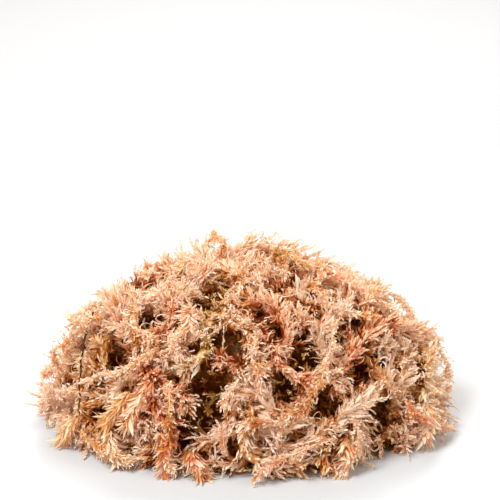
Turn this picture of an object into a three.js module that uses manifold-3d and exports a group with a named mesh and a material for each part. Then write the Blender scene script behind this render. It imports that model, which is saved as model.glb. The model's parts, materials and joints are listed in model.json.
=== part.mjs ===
// A clump of dried sphagnum moss, heaped loosely on a flat surface. It is an assembly of leafy
// strands, each one solid: a stem, often forked, with leafy branches standing out of it all along
// and a star of branches at its head. The strands lie over a dense tangle of broken moss, with dark
// hollows between them, and one thin twig is caught in the heap.
// Millimetres, +Z up, the front of the heap facing -Y, the origin under its middle.

import * as THREE from "three";
import { mergeVertices } from "three/addons/utils/BufferGeometryUtils.js";
import Module from "manifold-3d";

const wasm = await Module();
wasm.setup();

// ---- Driving dimensions ----

const HEAP = new THREE.Vector3(99, 79, 78); // half width, half depth and height of the heap
const STEP = 5.6; // along a strand, between its points and so between its rows of branches
const SPACING = 11; // between the middles of two strands that lie side by side
const CLOSEST = 8; // to which any two are pushed apart
const GAP = 0.35; // left free between two strands
const WELD = 0.01; // corners closer than this are one
const FLOOR_CLEARANCE = 4.2; // of a stem's middle above the surface

const STEM_RADIUS = 2.6; // along the middle of a strand
const HEAD_RADIUS = 2.2;
const ROOT_RADIUS = 1.7;
const LEAST_RADIUS = 0.8; // where there is no room for more
const TWIG_RADIUS = 0.95;
const CROWN = 3; // from the last ring of a stem to its point

const LAY_DEPTH = 0.89; // how far out the strands lie, as a share of the heap
const LAYERING = 0.07; // how far apart the highest and lowest strands lie
const TUCK = 0.1; // how much deeper a strand's root end starts
const DEEPEST = 0.775; // no strand lies further in than this share of the heap
const OUTERMOST = 0.925; // nor further out than this
const TOP_FROM = 0.9; // but above this share of the heap's height it may reach the surface
const TICKS = 1000; // to a millimetre, on which the points of the strands settle

const SHOOT_ANGLE = 48; // between a side shoot and its stem
const SHOOT_LENGTH = 30;
const SHOOT_BEND = 50; // degrees that it turns, away from its stem
const SHOOT_FROM = 62; // strands at least this long are forked

const SIDES = 4; // of a stem
const RING_TWIST = 17; // degrees that each row is turned from the last
const BRANCH_LENGTH = 10.5; // from the stem's face to the tip
const BRANCH_LEAN = 50; // degrees from the stem
const BRANCH_FOOT = 2.2; // room kept round the inner part of a branch
const BRANCH_TOP = 1.05; // and round the outer part
const HEAD_LEAN = 68; // the same at a strand's head
const LEAN_SPREAD = 18; // between the steepest and the flattest
const KNEE = 0.42; // how far along a branch its inner part ends
const FAR_APART = 30; // faces further apart than this can't meet

const CORE_SIZE = 0.69; // of the tangle inside, as a share of the heap
const CORE_FLARE = 0.05; // how much wider it is at its foot
const CORE_LUMPS = 0.025; // how high its lumps are
const CORE_WAVES = 14; // that add up to its lumps
const CORE_COLUMNS = 36;
const CORE_ROWS = 13;
const CORE_TUFT_LENGTH = 12;
const CORE_TUFT_LEAN = 68;
const CORE_GAP = 1.9; // kept between the tangle and the strands over it
const REST_RADIUS = 42; // of the flat spot that the heap rests on
const UNDERSIDE = 3; // height of the tangle's rim above the surface

const HOLLOW_MARGIN = 5.5; // that a strand's middle keeps off a hollow's edge
const PIT_DEPTH = 0.13; // of the pit in the tangle under a hollow, as a share of the heap
const PIT_WIDTH = 1.3; // and its radius, as a share of the hollow's
const BACK_STRANDS = 22;
const SEED = 23;

// What the moss has dried to, from pale to dark.
const TONES = {
  cream: 0xe9cfae,
  tan: 0xd3a57a,
  blush: 0xdba58c,
  coral: 0xc27a5c,
  amber: 0xc88745,
  olive: 0xb3a15c,
  umber: 0x6b4630,
  bark: 0x4a3020,
};

// The strands of the front and top, in the order in which they were laid. Each row is a tone, where
// the strand starts (degrees around the heap from the front, to the right, and degrees up its
// side), its heading (0 to the right along the heap, 90 up it), its length, how far it turns along
// the way, and how far its middle is lifted clear of the heap.
const FRONT_STRANDS = [
  ["cream", -75, 76, 160, 62, -185, 0.1],
  ["tan", -105, 56, 90, 72, -30, 0],
  ["coral", -98, 40, 110, 58, 40, 0],
  ["blush", -100, 76, 0, 78, -110, 0],
  ["cream", 140, 76, 130, 76, 150, 0],
  ["coral", 20, 70, -120, 62, 90, 0],
  ["olive", 0, 76, -120, 48, -10, 0],
  ["tan", 110, 72, -170, 72, 60, 0],
  ["blush", 115, 62, 180, 84, 120, 0],
  ["cream", -12, 62, -150, 92, 30, 0],
  ["tan", -96, 46, -60, 68, -10, 0],
  ["cream", -85, 20, 35, 92, -190, 0],
  ["coral", -62, 22, 15, 82, -190, 0],
  ["amber", -66, 6, 25, 62, -10, 0],
  ["amber", -30, 42, -105, 66, 50, 0],
  ["cream", -24, 38, -70, 76, -50, 0],
  ["cream", -6, 30, -75, 62, -30, 0],
  ["tan", -6, 52, -65, 60, 15, 0],
  ["coral", 0, 35, 45, 56, 50, 0],
  ["tan", 6, 30, -115, 60, 60, 0],
  ["cream", 42, 50, -140, 104, -45, 0],
  ["amber", 42, 40, -90, 56, -60, 0],
  ["tan", 56, 52, -65, 72, 30, 0],
  ["cream", 32, 66, -40, 68, 10, 0],
  ["coral", 38, 26, 5, 78, -20, 0],
  ["olive", 62, 32, -5, 72, -150, 0],
  ["cream", 30, 26, -85, 60, -50, 0],
  ["coral", 86, 22, -120, 62, -30, 0],
  ["cream", 14, 14, -20, 56, 60, 0],
  ["tan", 44, 8, 10, 64, -10, 0],
];

const TWIG = ["bark", -88, 42, -18, 54, -28, 0];
const TWIG_DEPTH = 0.965; // its middle, just over the strands

// The deep gaps between the strands of the front: degrees around, degrees up, and radius.
const FRONT_HOLLOWS = [
  [-52, 53, 6.5],
  [-29, 72, 6.5],
  [-13, 32, 7],
  [-10, 22, 5],
  [20, 40, 6],
  [12, 31, 6],
  [24, 24, 5.5],
  [43, 32, 5.5],
  [45, 16, 7],
  [-52, 33, 6.5],
  [41, 46, 4.5],
  [-6, 47, 4.5],
];
const BACK_HOLLOWS = 9;
const BACK_HOLLOW_RADIUS = 6;

// ---- Small helpers ----

const radians = THREE.MathUtils.degToRad;
const GOLDEN = (Math.sqrt(5) - 1) / 2;

// A fixed draw between 0 and 1 for a row of whole numbers.
function draw(...keys) {
  let hash = SEED;
  for (const key of keys) {
    hash = Math.imul(hash ^ (key + 0x9e3779b9), 0x85ebca6b);
    hash ^= hash >>> 13;
    hash = Math.imul(hash, 0xc2b2ae35);
    hash ^= hash >>> 16;
  }
  return (hash >>> 0) / 4294967296;
}

// The point of the heap's surface, scaled by share, at so many degrees around and up.
function onHeap(around, up, share) {
  const a = radians(around);
  const u = radians(up);
  return new THREE.Vector3(Math.sin(a) * Math.cos(u), -Math.cos(a) * Math.cos(u), Math.sin(u))
    .multiply(HEAP)
    .multiplyScalar(share);
}

// How far out a point lies: 0 in the middle of the heap's foot, 1 on its surface.
function shareOf(point) {
  return Math.hypot(point.x / HEAP.x, point.y / HEAP.y, point.z / HEAP.z);
}

function outwardAt(point) {
  return new THREE.Vector3(
    point.x / HEAP.x ** 2,
    point.y / HEAP.y ** 2,
    point.z / HEAP.z ** 2,
  ).normalize();
}

// The shortest distance between the stretches p0-p1 and q0-q1.
function distanceBetween(p0, p1, q0, q1) {
  const u = p1.clone().sub(p0);
  const v = q1.clone().sub(q0);
  const w = p0.clone().sub(q0);
  const uu = u.dot(u);
  const uv = u.dot(v);
  const vv = v.dot(v);
  const uw = u.dot(w);
  const vw = v.dot(w);
  const clamp = (value) => Math.min(1, Math.max(0, value));
  const det = uu * vv - uv * uv;
  let s = det > 1e-9 ? clamp((uv * vw - vv * uw) / det) : 0;
  const t = clamp((uv * s + vw) / vv);
  s = clamp((uv * t - uw) / uu);
  return w.addScaledVector(u, s).addScaledVector(v, -t).length();
}

// ---- Where the strands lie ----

const hollows = FRONT_HOLLOWS.map(([around, up, radius]) => ({
  middle: onHeap(around, up, LAY_DEPTH),
  radius,
}));
for (let i = 0; i < BACK_HOLLOWS; i++) {
  const around = 100 + 160 * ((i * GOLDEN + 0.2) % 1);
  const up = 12 + (58 * (i + 0.5)) / BACK_HOLLOWS;
  hollows.push({ middle: onHeap(around, up, LAY_DEPTH), radius: BACK_HOLLOW_RADIUS });
}

// A chain of points that walks over the heap from its start, turning as it goes.
function walk(start, heading, length, bend, depth, lift, tucked) {
  const count = Math.round(length / STEP) + 1;
  const chain = { points: [], shares: [] };
  const point = start.clone();
  let forward = null;
  for (let i = 0; i < count; i++) {
    const t = i / (count - 1);
    const outward = outwardAt(point);
    if (forward === null) {
      const right = new THREE.Vector3(0, 0, 1).cross(outward).normalize();
      const upward = outward.clone().cross(right);
      const angle = radians(heading);
      forward = right.multiplyScalar(Math.cos(angle)).addScaledVector(upward, Math.sin(angle));
    } else {
      forward.applyAxisAngle(outward, radians(bend) / (count - 1));
    }
    const sunk = tucked ? TUCK * Math.max(0, 1 - t / 0.25) : 0;
    const share = depth - sunk + lift * Math.sin(Math.PI * t);
    chain.points.push(point.clone());
    chain.shares.push(share);
    forward.addScaledVector(outward, -forward.dot(outward)).normalize();
    point.addScaledVector(forward, STEP);
    point.z = Math.max(point.z, FLOOR_CLEARANCE);
    point.multiplyScalar(share / shareOf(point));
    point.z = Math.max(point.z, FLOOR_CLEARANCE);
  }
  return chain;
}

function backStrand(i) {
  const around = 96 + 168 * ((i * GOLDEN + 0.35) % 1);
  const up = THREE.MathUtils.radToDeg(Math.asin(0.06 + (0.9 * (i + 0.5)) / BACK_STRANDS));
  const tones = ["cream", "tan", "cream", "blush", "tan", "coral", "cream", "amber"];
  const tone = tones[Math.floor(draw(i, 1) * tones.length)];
  const heading = 360 * draw(i, 2);
  const length = 74 + 30 * draw(i, 3);
  const bend = 300 * draw(i, 4) - 150;
  return [tone, around, up, heading, length, bend, 0];
}

// One plant for each row, of one chain or, where it is forked, of two.
const rows = [...FRONT_STRANDS];
for (let i = 0; i < BACK_STRANDS; i++) {
  rows.push(backStrand(i));
}
rows.push(TWIG);

const plants = [];
const chains = [];
rows.forEach(([tone, around, up, heading, length, bend, lift], index) => {
  const isTwig = tone === "bark";
  const depth = isTwig ? TWIG_DEPTH : LAY_DEPTH + LAYERING * (draw(index, 8) - 0.5);
  const start = onHeap(around, up, depth);
  const stem = { plant: index, ...walk(start, heading, length, bend, depth, lift, !isTwig) };
  chains.push(stem);
  const plant = { tone, chains: [stem] };
  plants.push(plant);
  if (length < SHOOT_FROM || isTwig) {
    return;
  }
  const fork = 3 + Math.floor(draw(index, 5) * (stem.points.length - 8));
  const side = draw(index, 6) < 0.5 ? -1 : 1;
  const turned = heading + (bend * fork) / (stem.points.length - 1) + side * SHOOT_ANGLE;
  const shootLength = SHOOT_LENGTH * (0.8 + 0.4 * draw(index, 7));
  const origin = stem.points[fork];
  const shootBend = side * SHOOT_BEND;
  const shoot = { plant: index, ...walk(origin, turned, shootLength, shootBend, depth, 0, false) };
  shoot.parent = stem;
  shoot.fork = fork;
  chains.push(shoot);
  plant.chains.push(shoot);
});

// The chains ease apart until each has room, lies on the heap and leaves the hollows free. The twig
// stays as it fell, on top of them.
const EASING = [
  { rounds: 40, spacing: 2 * SPACING, push: 0.05 },
  { rounds: 100, spacing: SPACING, push: 0.22 },
  { rounds: 30, spacing: CLOSEST, push: 0.5 },
];

// A strand bends only so far. This is how many steps its points keep apart that are two, three and
// four steps from each other along it.
const STIFFNESS = [1.8, 2.4, 2.8];

// How much of what is wrong one round puts right.
const HOLLOW_PUSH = 0.25;
const LAYER_PULL = 0.15;
const SMOOTHING = 0.1;
const STEP_PULL = 0.35;
const STIFF_PUSH = 0.3;

// How many steps along one plant lie between two of its points.
function stepsApart(one, other) {
  if (one.chain === other.chain) {
    return Math.abs(one.i - other.i);
  }
  if (one.chain.parent === other.chain) {
    return one.i + Math.abs(other.i - one.chain.fork);
  }
  if (other.chain.parent === one.chain) {
    return other.i + Math.abs(one.i - other.chain.fork);
  }
  return Infinity;
}

function ease(spacing, push) {
  const all = [];
  for (const chain of chains.filter(({ plant }) => plants[plant].tone !== "bark")) {
    chain.points.forEach((point, i) => {
      all.push({ chain, i, point, share: chain.shares[i], move: new THREE.Vector3() });
    });
  }
  const away = new THREE.Vector3();
  for (const one of all) {
    const { chain, i, point, share, move } = one;
    for (const other of all) {
      if (stepsApart(one, other) <= 4) {
        continue;
      }
      away.subVectors(point, other.point);
      const distance = Math.max(away.length(), 1e-6);
      if (distance < spacing) {
        move.addScaledVector(away, (push * (spacing - distance)) / distance);
      }
    }
    for (const hollow of hollows) {
      away.subVectors(point, hollow.middle);
      const distance = Math.max(away.length(), 1e-6);
      const room = hollow.radius + HOLLOW_MARGIN;
      if (distance < room) {
        move.addScaledVector(away, (HOLLOW_PUSH * (room - distance)) / distance);
      }
    }
    const now = shareOf(point);
    move.addScaledVector(point, (LAYER_PULL * (share - now)) / now);
    const before = chain.points[i - 1];
    const after = chain.points[i + 1];
    if (before && after) {
      move.addScaledVector(before, SMOOTHING).addScaledVector(after, SMOOTHING);
      move.addScaledVector(point, -2 * SMOOTHING);
    }
    for (const neighbour of [before, after]) {
      if (neighbour) {
        away.subVectors(neighbour, point);
        const distance = away.length();
        move.addScaledVector(away, (STEP_PULL * (distance - STEP)) / distance);
      }
    }
    STIFFNESS.forEach((least, k) => {
      for (const other of [chain.points[i - k - 2], chain.points[i + k + 2]]) {
        const distance = other ? point.distanceTo(other) : Infinity;
        if (distance < least * STEP) {
          away.subVectors(point, other);
          move.addScaledVector(away, (STIFF_PUSH * (least * STEP - distance)) / distance);
        }
      }
    });
  }
  for (const { point, move } of all) {
    point.add(move);
    const now = shareOf(point);
    const outermost = point.z > HEAP.z * TOP_FROM ? 1 : OUTERMOST;
    point.multiplyScalar(THREE.MathUtils.clamp(now, DEEPEST, outermost) / now);
    point.z = Math.max(point.z, FLOOR_CLEARANCE);
    point.multiplyScalar(TICKS).round().divideScalar(TICKS);
  }
  for (const chain of chains) {
    if (chain.parent) {
      chain.points[0].copy(chain.parent.points[chain.fork]);
    }
  }
}

for (const { rounds, spacing, push } of EASING) {
  for (let round = 0; round < rounds; round++) {
    ease(spacing, push);
  }
}

// ---- The tangle inside ----

const waves = [];
for (let i = 0; i < CORE_WAVES; i++) {
  const direction = new THREE.Vector3(draw(i, 31) - 0.5, draw(i, 32) - 0.5, draw(i, 33) - 0.5);
  direction.normalize().multiplyScalar(5 + 7 * draw(i, 34));
  waves.push({ direction, phase: 7 * draw(i, 35) });
}

// How far out the tangle reaches, as a share of the heap, on the line to a point.
function coreShare(point) {
  const way = point.clone().divide(HEAP).normalize();
  let lumps = 0;
  for (const wave of waves) {
    lumps += Math.sin(way.dot(wave.direction) + wave.phase);
  }
  let share = CORE_SIZE + CORE_FLARE * (1 - way.z) ** 3 + (CORE_LUMPS * lumps) / 3;
  for (const hollow of hollows) {
    const across = way.distanceTo(hollow.middle.clone().divide(HEAP).normalize()) * HEAP.z;
    share -= PIT_DEPTH * Math.exp(-((across / (hollow.radius * PIT_WIDTH)) ** 2));
  }
  return Math.min(share, DEEPEST - 0.04);
}

// ---- How thick each stem is, so that it clears its neighbours ----

// At each of a chain's points the way along it and two ways across it, which turn no further from
// one point to the next than the chain itself does.
function framesOf({ points }) {
  const frames = [];
  points.forEach((middle, i) => {
    const along = points[Math.min(points.length - 1, i + 1)].clone();
    along.sub(points[Math.max(0, i - 1)]).normalize();
    const out = i === 0 ? outwardAt(middle) : frames[i - 1].out.clone();
    out.addScaledVector(along, -out.dot(along)).normalize();
    frames.push({ middle, along, out, side: along.clone().cross(out) });
  });
  return frames;
}

const stretches = [];
for (const chain of chains) {
  for (let i = 0; i + 1 < chain.points.length; i++) {
    stretches.push({ chain, i, from: chain.points[i], to: chain.points[i + 1] });
  }
  const last = chain.points.length - 1;
  chain.crown = chain.points[last].clone().sub(chain.points[last - 1]).setLength(CROWN);
  chain.crown.add(chain.points[last]);
  stretches.push({ chain, i: last - 1, from: chain.points[last], to: chain.crown });
  const twig = plants[chain.plant].tone === "bark";
  const frames = framesOf(chain);
  chain.radii = chain.points.map((point, i) => {
    if (twig) {
      return TWIG_RADIUS;
    }
    const turn = i < last ? frames[i].along.angleTo(frames[i + 1].along) : 0;
    const turnBefore = i > 0 ? frames[i].along.angleTo(frames[i - 1].along) : 0;
    const inBend = (0.7 * STEP) / Math.max(turn, turnBefore, 0.01);
    const t = i / last;
    const overCore = (shareOf(point) - coreShare(point)) * HEAP.z - CORE_GAP;
    const root = chain.parent ? LEAST_RADIUS : ROOT_RADIUS;
    const rise = Math.min(1, chain.parent ? i : t / 0.3);
    const fall = Math.max(0, (t - 0.75) / 0.25);
    const radius = root + (STEM_RADIUS - root) * rise + (HEAD_RADIUS - STEM_RADIUS) * fall;
    return Math.max(LEAST_RADIUS, Math.min(radius, overCore, inBend));
  });
}
for (const one of stretches) {
  let clearance = Infinity;
  for (const other of stretches) {
    if (stepsApart(one, other) > 5) {
      clearance = Math.min(clearance, distanceBetween(one.from, one.to, other.from, other.to));
    }
  }
  const most = Math.max(LEAST_RADIUS, (clearance - GAP) / 2);
  one.chain.radii[one.i] = Math.min(one.chain.radii[one.i], most);
  one.chain.radii[one.i + 1] = Math.min(one.chain.radii[one.i + 1], most);
}

// ---- Room for the branches ----

const TANGLE = "tangle";
const taken = [];

// Notes that a stretch of something of that radius is there.

function take(owner, from, to, radius, order) {
  const middle = from.clone().add(to).multiplyScalar(0.5);
  const reach = from.distanceTo(to) / 2 + radius;
  taken.push({ owner, from, to, radius, order, middle, reach });
}

for (const { chain, i, from, to } of stretches) {
  take(chain, from, to, Math.max(chain.radii[i], chain.radii[i + 1]), null);
}

// Whether a stretch of a branch is clear of the surface, the tangle and every other chain. On its
// own chain it only has to miss the outer parts of the other branches.
function isClear(owner, from, to, radius, outer) {
  for (const share of [0, 0.5, 1]) {
    const point = from.clone().lerp(to, share);
    if (point.z < radius + 0.2) {
      return false;
    }
    if (owner !== TANGLE && (shareOf(point) - coreShare(point)) * HEAP.z < radius + CORE_GAP) {
      return false;
    }
  }
  const middle = from.clone().add(to).multiplyScalar(0.5);
  const reach = from.distanceTo(to) / 2 + radius;
  return taken.every((other) => {
    const own = other.owner === owner;
    if (own && !(outer && other.order === "outer")) {
      return true;
    }
    if (middle.distanceTo(other.middle) > reach + other.reach + GAP) {
      return true;
    }
    return distanceBetween(from, to, other.from, other.to) > radius + other.radius + GAP;
  });
}

// ---- Faces ----

// A face has four corners and is flat, or has a tip and is raised to it as a pointed branch.
function trianglesOf({ corners, tip }) {
  if (tip) {
    return corners.map((corner, k) => [corner, corners[(k + 1) % corners.length], tip]);
  }
  const [a, b, c, d] = corners;
  return [[a, b, c], [a, c, d]];
}

function edgesOf({ corners, tip }) {
  const rim = corners.map((corner, k) => [corner, corners[(k + 1) % corners.length]]);
  return tip ? [...rim, ...corners.map((corner) => [corner, tip])] : rim;
}

// Whether an edge passes through a triangle that it has no corner in common with.
function pierces([from, to], triangle) {
  if (triangle.includes(from) || triangle.includes(to)) {
    return false;
  }
  const ray = new THREE.Ray(from, to.clone().sub(from).normalize());
  const hit = ray.intersectTriangle(...triangle, false, new THREE.Vector3());
  return hit !== null && hit.distanceTo(from) < to.distanceTo(from);
}

function crosses(one, other) {
  if (one === other || one.corners[0].distanceTo(other.corners[0]) > FAR_APART) {
    return false;
  }
  const sides = trianglesOf(one);
  const others = trianglesOf(other);
  return (
    edgesOf(one).some((edge) => others.some((triangle) => pierces(edge, triangle))) ||
    edgesOf(other).some((edge) => sides.some((triangle) => pierces(edge, triangle)))
  );
}

function midpointOf(points) {
  const sum = points.reduce((total, point) => total.add(point), new THREE.Vector3());
  return sum.divideScalar(points.length);
}

const LENGTHS_TRIED = [1, 0.75, 0.5];
const SWINGS_TRIED = [0, 24, -24];

// Raises one of a strand's faces into a branch, bent clear of what is near it, or leaves it flat
// where there is no room.
function raise(owner, face, faces, along, radial, lean, length) {
  const foot = midpointOf(face.corners);
  const side = along.clone().cross(radial);
  for (const share of LENGTHS_TRIED) {
    for (const swing of SWINGS_TRIED) {
      const round = radial.clone().multiplyScalar(Math.cos(radians(swing)));
      round.addScaledVector(side, Math.sin(radians(swing)));
      const way = along.clone().multiplyScalar(Math.cos(radians(lean)));
      way.addScaledVector(round, Math.sin(radians(lean)));
      const knee = foot.clone().addScaledVector(way, length * share * KNEE);
      const tip = foot.clone().addScaledVector(way, length * share);
      const hasRoom =
        isClear(owner, foot, knee, BRANCH_FOOT, false) && isClear(owner, knee, tip, BRANCH_TOP, true);
      const raised = { corners: face.corners, tip };
      if (hasRoom && !faces.some((other) => other !== face && crosses(raised, other))) {
        take(owner, foot, knee, BRANCH_FOOT, "inner");
        take(owner, knee, tip, BRANCH_TOP, "outer");
        face.tip = tip;
        return;
      }
    }
  }
}

// ---- Solids ----

function solidOf(faces, caps = []) {
  const triangles = [...faces.flatMap(trianglesOf), ...caps];
  const places = new Map();
  for (const corner of triangles.flat()) {
    if (!places.has(corner)) {
      places.set(corner, places.size);
    }
  }
  return new wasm.Manifold(
    new wasm.Mesh({
      numProp: 3,
      vertProperties: new Float32Array([...places.keys()].flatMap((corner) => corner.toArray())),
      triVerts: new Uint32Array(triangles.flat().map((corner) => places.get(corner))),
    }),
  );
}

// A chain as a stem with rings of corners, every other face of it raised into a branch.
function strandSolid(plantIndex, chainIndex, chain, isTwig) {
  const frames = framesOf(chain);
  const rings = frames.map(({ middle, side, out }, r) => {
    const ring = [];
    for (let s = 0; s < SIDES; s++) {
      const angle = radians(RING_TWIST * r) + (2 * Math.PI * s) / SIDES;
      const corner = middle.clone().addScaledVector(out, chain.radii[r] * Math.cos(angle));
      ring.push(corner.addScaledVector(side, chain.radii[r] * Math.sin(angle)));
    }
    return ring;
  });
  const lastRow = rings.length - 2;
  const faces = [];
  for (let r = 0; r <= lastRow; r++) {
    for (let s = 0; s < SIDES; s++) {
      const next = (s + 1) % SIDES;
      faces.push({ corners: [rings[r][s], rings[r][next], rings[r + 1][next], rings[r + 1][s]], r, s });
    }
  }
  faces.push({ corners: [...rings[0]].reverse() });
  faces.push({ corners: rings[lastRow + 1], tip: chain.crown });
  for (const face of faces) {
    const { r, s } = face;
    const isHead = r >= lastRow - 1;
    const isRaised = (isHead || (r + s) % 2 === 0) && r >= (chain.parent ? 2 : 1);
    if (!isRaised || isTwig) {
      continue;
    }
    const { along } = frames[r];
    const radial = midpointOf(face.corners).sub(midpointOf([frames[r].middle, frames[r + 1].middle]));
    radial.addScaledVector(along, -radial.dot(along)).normalize();
    const spread = LEAN_SPREAD * (draw(plantIndex, chainIndex, r, s) - 0.5);
    const lean = (isHead ? HEAD_LEAN : BRANCH_LEAN) + spread;
    const length = BRANCH_LENGTH * (0.8 + 0.4 * draw(plantIndex, chainIndex, r, s, 1));
    raise(chain, face, faces, along, radial, lean, length);
  }
  return solidOf(faces);
}

// The tangle: a lumpy mound with a pit under each hollow, every other face raised into a tuft. Its
// underside is a flat disc.
function tangleSolid() {
  const rings = [];
  for (let row = -1; row < CORE_ROWS; row++) {
    const ring = [];
    for (let column = 0; column < CORE_COLUMNS; column++) {
      const around = (360 * column) / CORE_COLUMNS;
      let point = onHeap(around, 0, REST_RADIUS / HEAP.x);
      if (row >= 0) {
        point = onHeap(around, 2 + (82 * row) / CORE_ROWS, 1);
        point.multiplyScalar(coreShare(point));
        point.z = Math.max(point.z, UNDERSIDE);
      }
      ring.push(point);
    }
    rings.push(ring);
  }
  const crown = new THREE.Vector3(0, 0, HEAP.z);
  crown.multiplyScalar(coreShare(crown));
  const foot = new THREE.Vector3(0, 0, 0);
  const faces = [];
  const caps = [];
  rings.forEach((ring, row) => {
    ring.forEach((a, column) => {
      const next = (column + 1) % CORE_COLUMNS;
      const above = rings[row + 1];
      if (row === 0) {
        caps.push([foot, ring[next], a]);
      }
      if (above) {
        faces.push({ corners: [a, ring[next], above[next], above[column]], row, column });
      } else {
        caps.push([a, ring[next], crown]);
      }
    });
  });
  for (const face of faces) {
    const { row, column } = face;
    if (row > 0 && (row + column) % 2 === 0) {
      const outward = outwardAt(midpointOf(face.corners));
      const key = row * CORE_COLUMNS + column;
      const slant = new THREE.Vector3(draw(key, 41) - 0.5, draw(key, 42) - 0.5, draw(key, 43) - 0.4);
      const along = slant.addScaledVector(outward, -slant.dot(outward)).normalize();
      const length = CORE_TUFT_LENGTH * (0.7 + 0.6 * draw(key, 44));
      raise(TANGLE, face, faces, along, outward, CORE_TUFT_LEAN, length);
    }
  }
  return solidOf(faces, caps);
}

// The geometry of a solid's biggest body. Corners closer than WELD are made one, any small hollow
// that fusing has sealed is filled, and loose scraps are dropped.
function geometryOf(solid) {
  const mesh = solid.getMesh();
  const fused = new THREE.BufferGeometry();
  fused.setAttribute("position", new THREE.BufferAttribute(mesh.vertProperties, 3));
  fused.setIndex(new THREE.BufferAttribute(mesh.triVerts, 1));
  const welded = mergeVertices(fused, WELD);
  const whole = new wasm.Manifold(
    new wasm.Mesh({
      numProp: 3,
      vertProperties: new Float32Array(welded.attributes.position.array),
      triVerts: new Uint32Array(welded.index.array),
    }),
  );
  const body = whole.decompose().reduce((best, one) => (one.volume() > best.volume() ? one : best));
  const { vertProperties, triVerts } = body.getMesh();
  const geometry = new THREE.BufferGeometry();
  geometry.setAttribute("position", new THREE.BufferAttribute(vertProperties, 3));
  geometry.setIndex(new THREE.BufferAttribute(triVerts, 1));
  const faceted = geometry.toNonIndexed();
  faceted.computeVertexNormals();
  return faceted;
}

// ---- The clump ----

const group = new THREE.Group();

function addMesh(name, solid, tone) {
  const material = new THREE.MeshStandardMaterial({
    color: TONES[tone],
    roughness: 0.9,
    metalness: 0,
    flatShading: true,
  });
  const mesh = new THREE.Mesh(geometryOf(solid), material);
  mesh.name = name;
  group.add(mesh);
}

const counts = {};
plants.forEach((plant, plantIndex) => {
  const isTwig = plant.tone === "bark";
  let solid = null;
  plant.chains.forEach((chain, chainIndex) => {
    const piece = strandSolid(plantIndex, chainIndex, chain, isTwig);
    solid = solid ? solid.add(piece) : piece;
  });
  counts[plant.tone] = (counts[plant.tone] ?? 0) + 1;
  const number = String(counts[plant.tone]).padStart(2, "0");
  const name = isTwig ? "bark_twig" : `strand_${plant.tone}_${number}`;
  addMesh(name, solid, plant.tone);
});
addMesh("inner_tangle", tangleSolid(), "umber");

export default group;
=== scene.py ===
# %% [markdown]
# # A clump of dried sphagnum moss
# This clump is a loose heap of leafy strands over a dark tangle of broken moss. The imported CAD
# model is loaded first, because it says where every strand lies and how far its branches reach.
# Each of its faceted strands is then replaced by a fine one on the same line: a thin stem clothed
# with small pointed leaves, and short branches that are covered with leaves too.

# %% Load the frame
import json
import math

import bpy
import numpy as np
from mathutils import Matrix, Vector

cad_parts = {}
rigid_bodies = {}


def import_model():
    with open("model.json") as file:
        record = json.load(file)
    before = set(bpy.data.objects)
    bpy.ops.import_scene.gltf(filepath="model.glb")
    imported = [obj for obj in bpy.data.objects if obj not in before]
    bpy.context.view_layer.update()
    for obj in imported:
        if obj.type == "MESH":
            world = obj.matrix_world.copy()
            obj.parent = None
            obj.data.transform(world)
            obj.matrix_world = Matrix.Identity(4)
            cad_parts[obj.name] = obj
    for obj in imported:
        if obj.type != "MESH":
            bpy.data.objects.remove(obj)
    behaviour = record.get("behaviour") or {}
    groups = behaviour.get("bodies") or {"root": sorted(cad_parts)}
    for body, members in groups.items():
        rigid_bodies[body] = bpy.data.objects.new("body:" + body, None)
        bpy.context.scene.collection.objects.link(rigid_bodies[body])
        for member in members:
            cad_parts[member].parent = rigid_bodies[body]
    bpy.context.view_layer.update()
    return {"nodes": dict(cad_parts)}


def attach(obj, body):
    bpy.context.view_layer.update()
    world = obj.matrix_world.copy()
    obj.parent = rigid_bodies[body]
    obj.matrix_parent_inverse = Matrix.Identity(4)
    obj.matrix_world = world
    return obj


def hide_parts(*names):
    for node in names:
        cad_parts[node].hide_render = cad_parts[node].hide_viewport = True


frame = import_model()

scene = bpy.context.scene

# %% [markdown]
# ## The camera
# A long lens from a little above the heap keeps its shape nearly without perspective. Blender aims
# a camera along its own -Z axis, so the rotation comes from the direction to the target.

# %% Camera
CAMERA_TARGET = Vector((0.0014, 0.0235, 0.0724))
CAMERA_DISTANCE = 0.9
CAMERA_ELEVATION = math.radians(18)
LENS = 137.9
SENSOR_WIDTH = 36


def aim(thing, target):
    way = Vector(target) - thing.location
    thing.rotation_euler = way.to_track_quat("-Z", "Y").to_euler()


camera = bpy.data.objects.new("camera", bpy.data.cameras.new("camera"))
scene.collection.objects.link(camera)
backward = Vector((0, -math.cos(CAMERA_ELEVATION), math.sin(CAMERA_ELEVATION)))
camera.location = CAMERA_TARGET + CAMERA_DISTANCE * backward
camera.data.lens = LENS
camera.data.sensor_width = SENSOR_WIDTH
aim(camera, CAMERA_TARGET)
scene.camera = camera
print("camera at", tuple(round(x, 3) for x in camera.location))

# %% [markdown]
# ## Where the strands lie
# The heap is half an ellipsoid. A strand starts at a place on it, walks over it in steps and turns
# as it goes, as the CAD model's strands do. The same seed gives the same draws, so the lines found
# here are the CAD model's own. Lengths are in millimetres until a mesh is made.

# %% The heap and its draws
HEAP = np.array([99.0, 79.0, 78.0])
STEP = 5.6
SPACING = 11
CLOSEST = 8
FLOOR_CLEARANCE = 4.2
LAY_DEPTH = 0.89
LAYERING = 0.07
TUCK = 0.1
DEEPEST = 0.775
OUTERMOST = 0.925
TOP_FROM = 0.9
TICKS = 1000  # to a millimetre: the points settle on them, so no rounding error can grow
SHOOT_ANGLE = 48
SHOOT_LENGTH = 30
SHOOT_FROM = 62  # strands at least this long are forked
SHOOT_BEND = 50
FIRST_FORK = 3
FORK_MARGIN = 8  # points of a stem that no side shoot leaves from
TUCKED_SHARE = 0.25  # of a strand's length, over which it comes up from inside the heap
HOLLOW_MARGIN = 5.5
SEED = 23
GOLDEN = (math.sqrt(5) - 1) / 2
WORD = 0xFFFFFFFF


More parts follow.
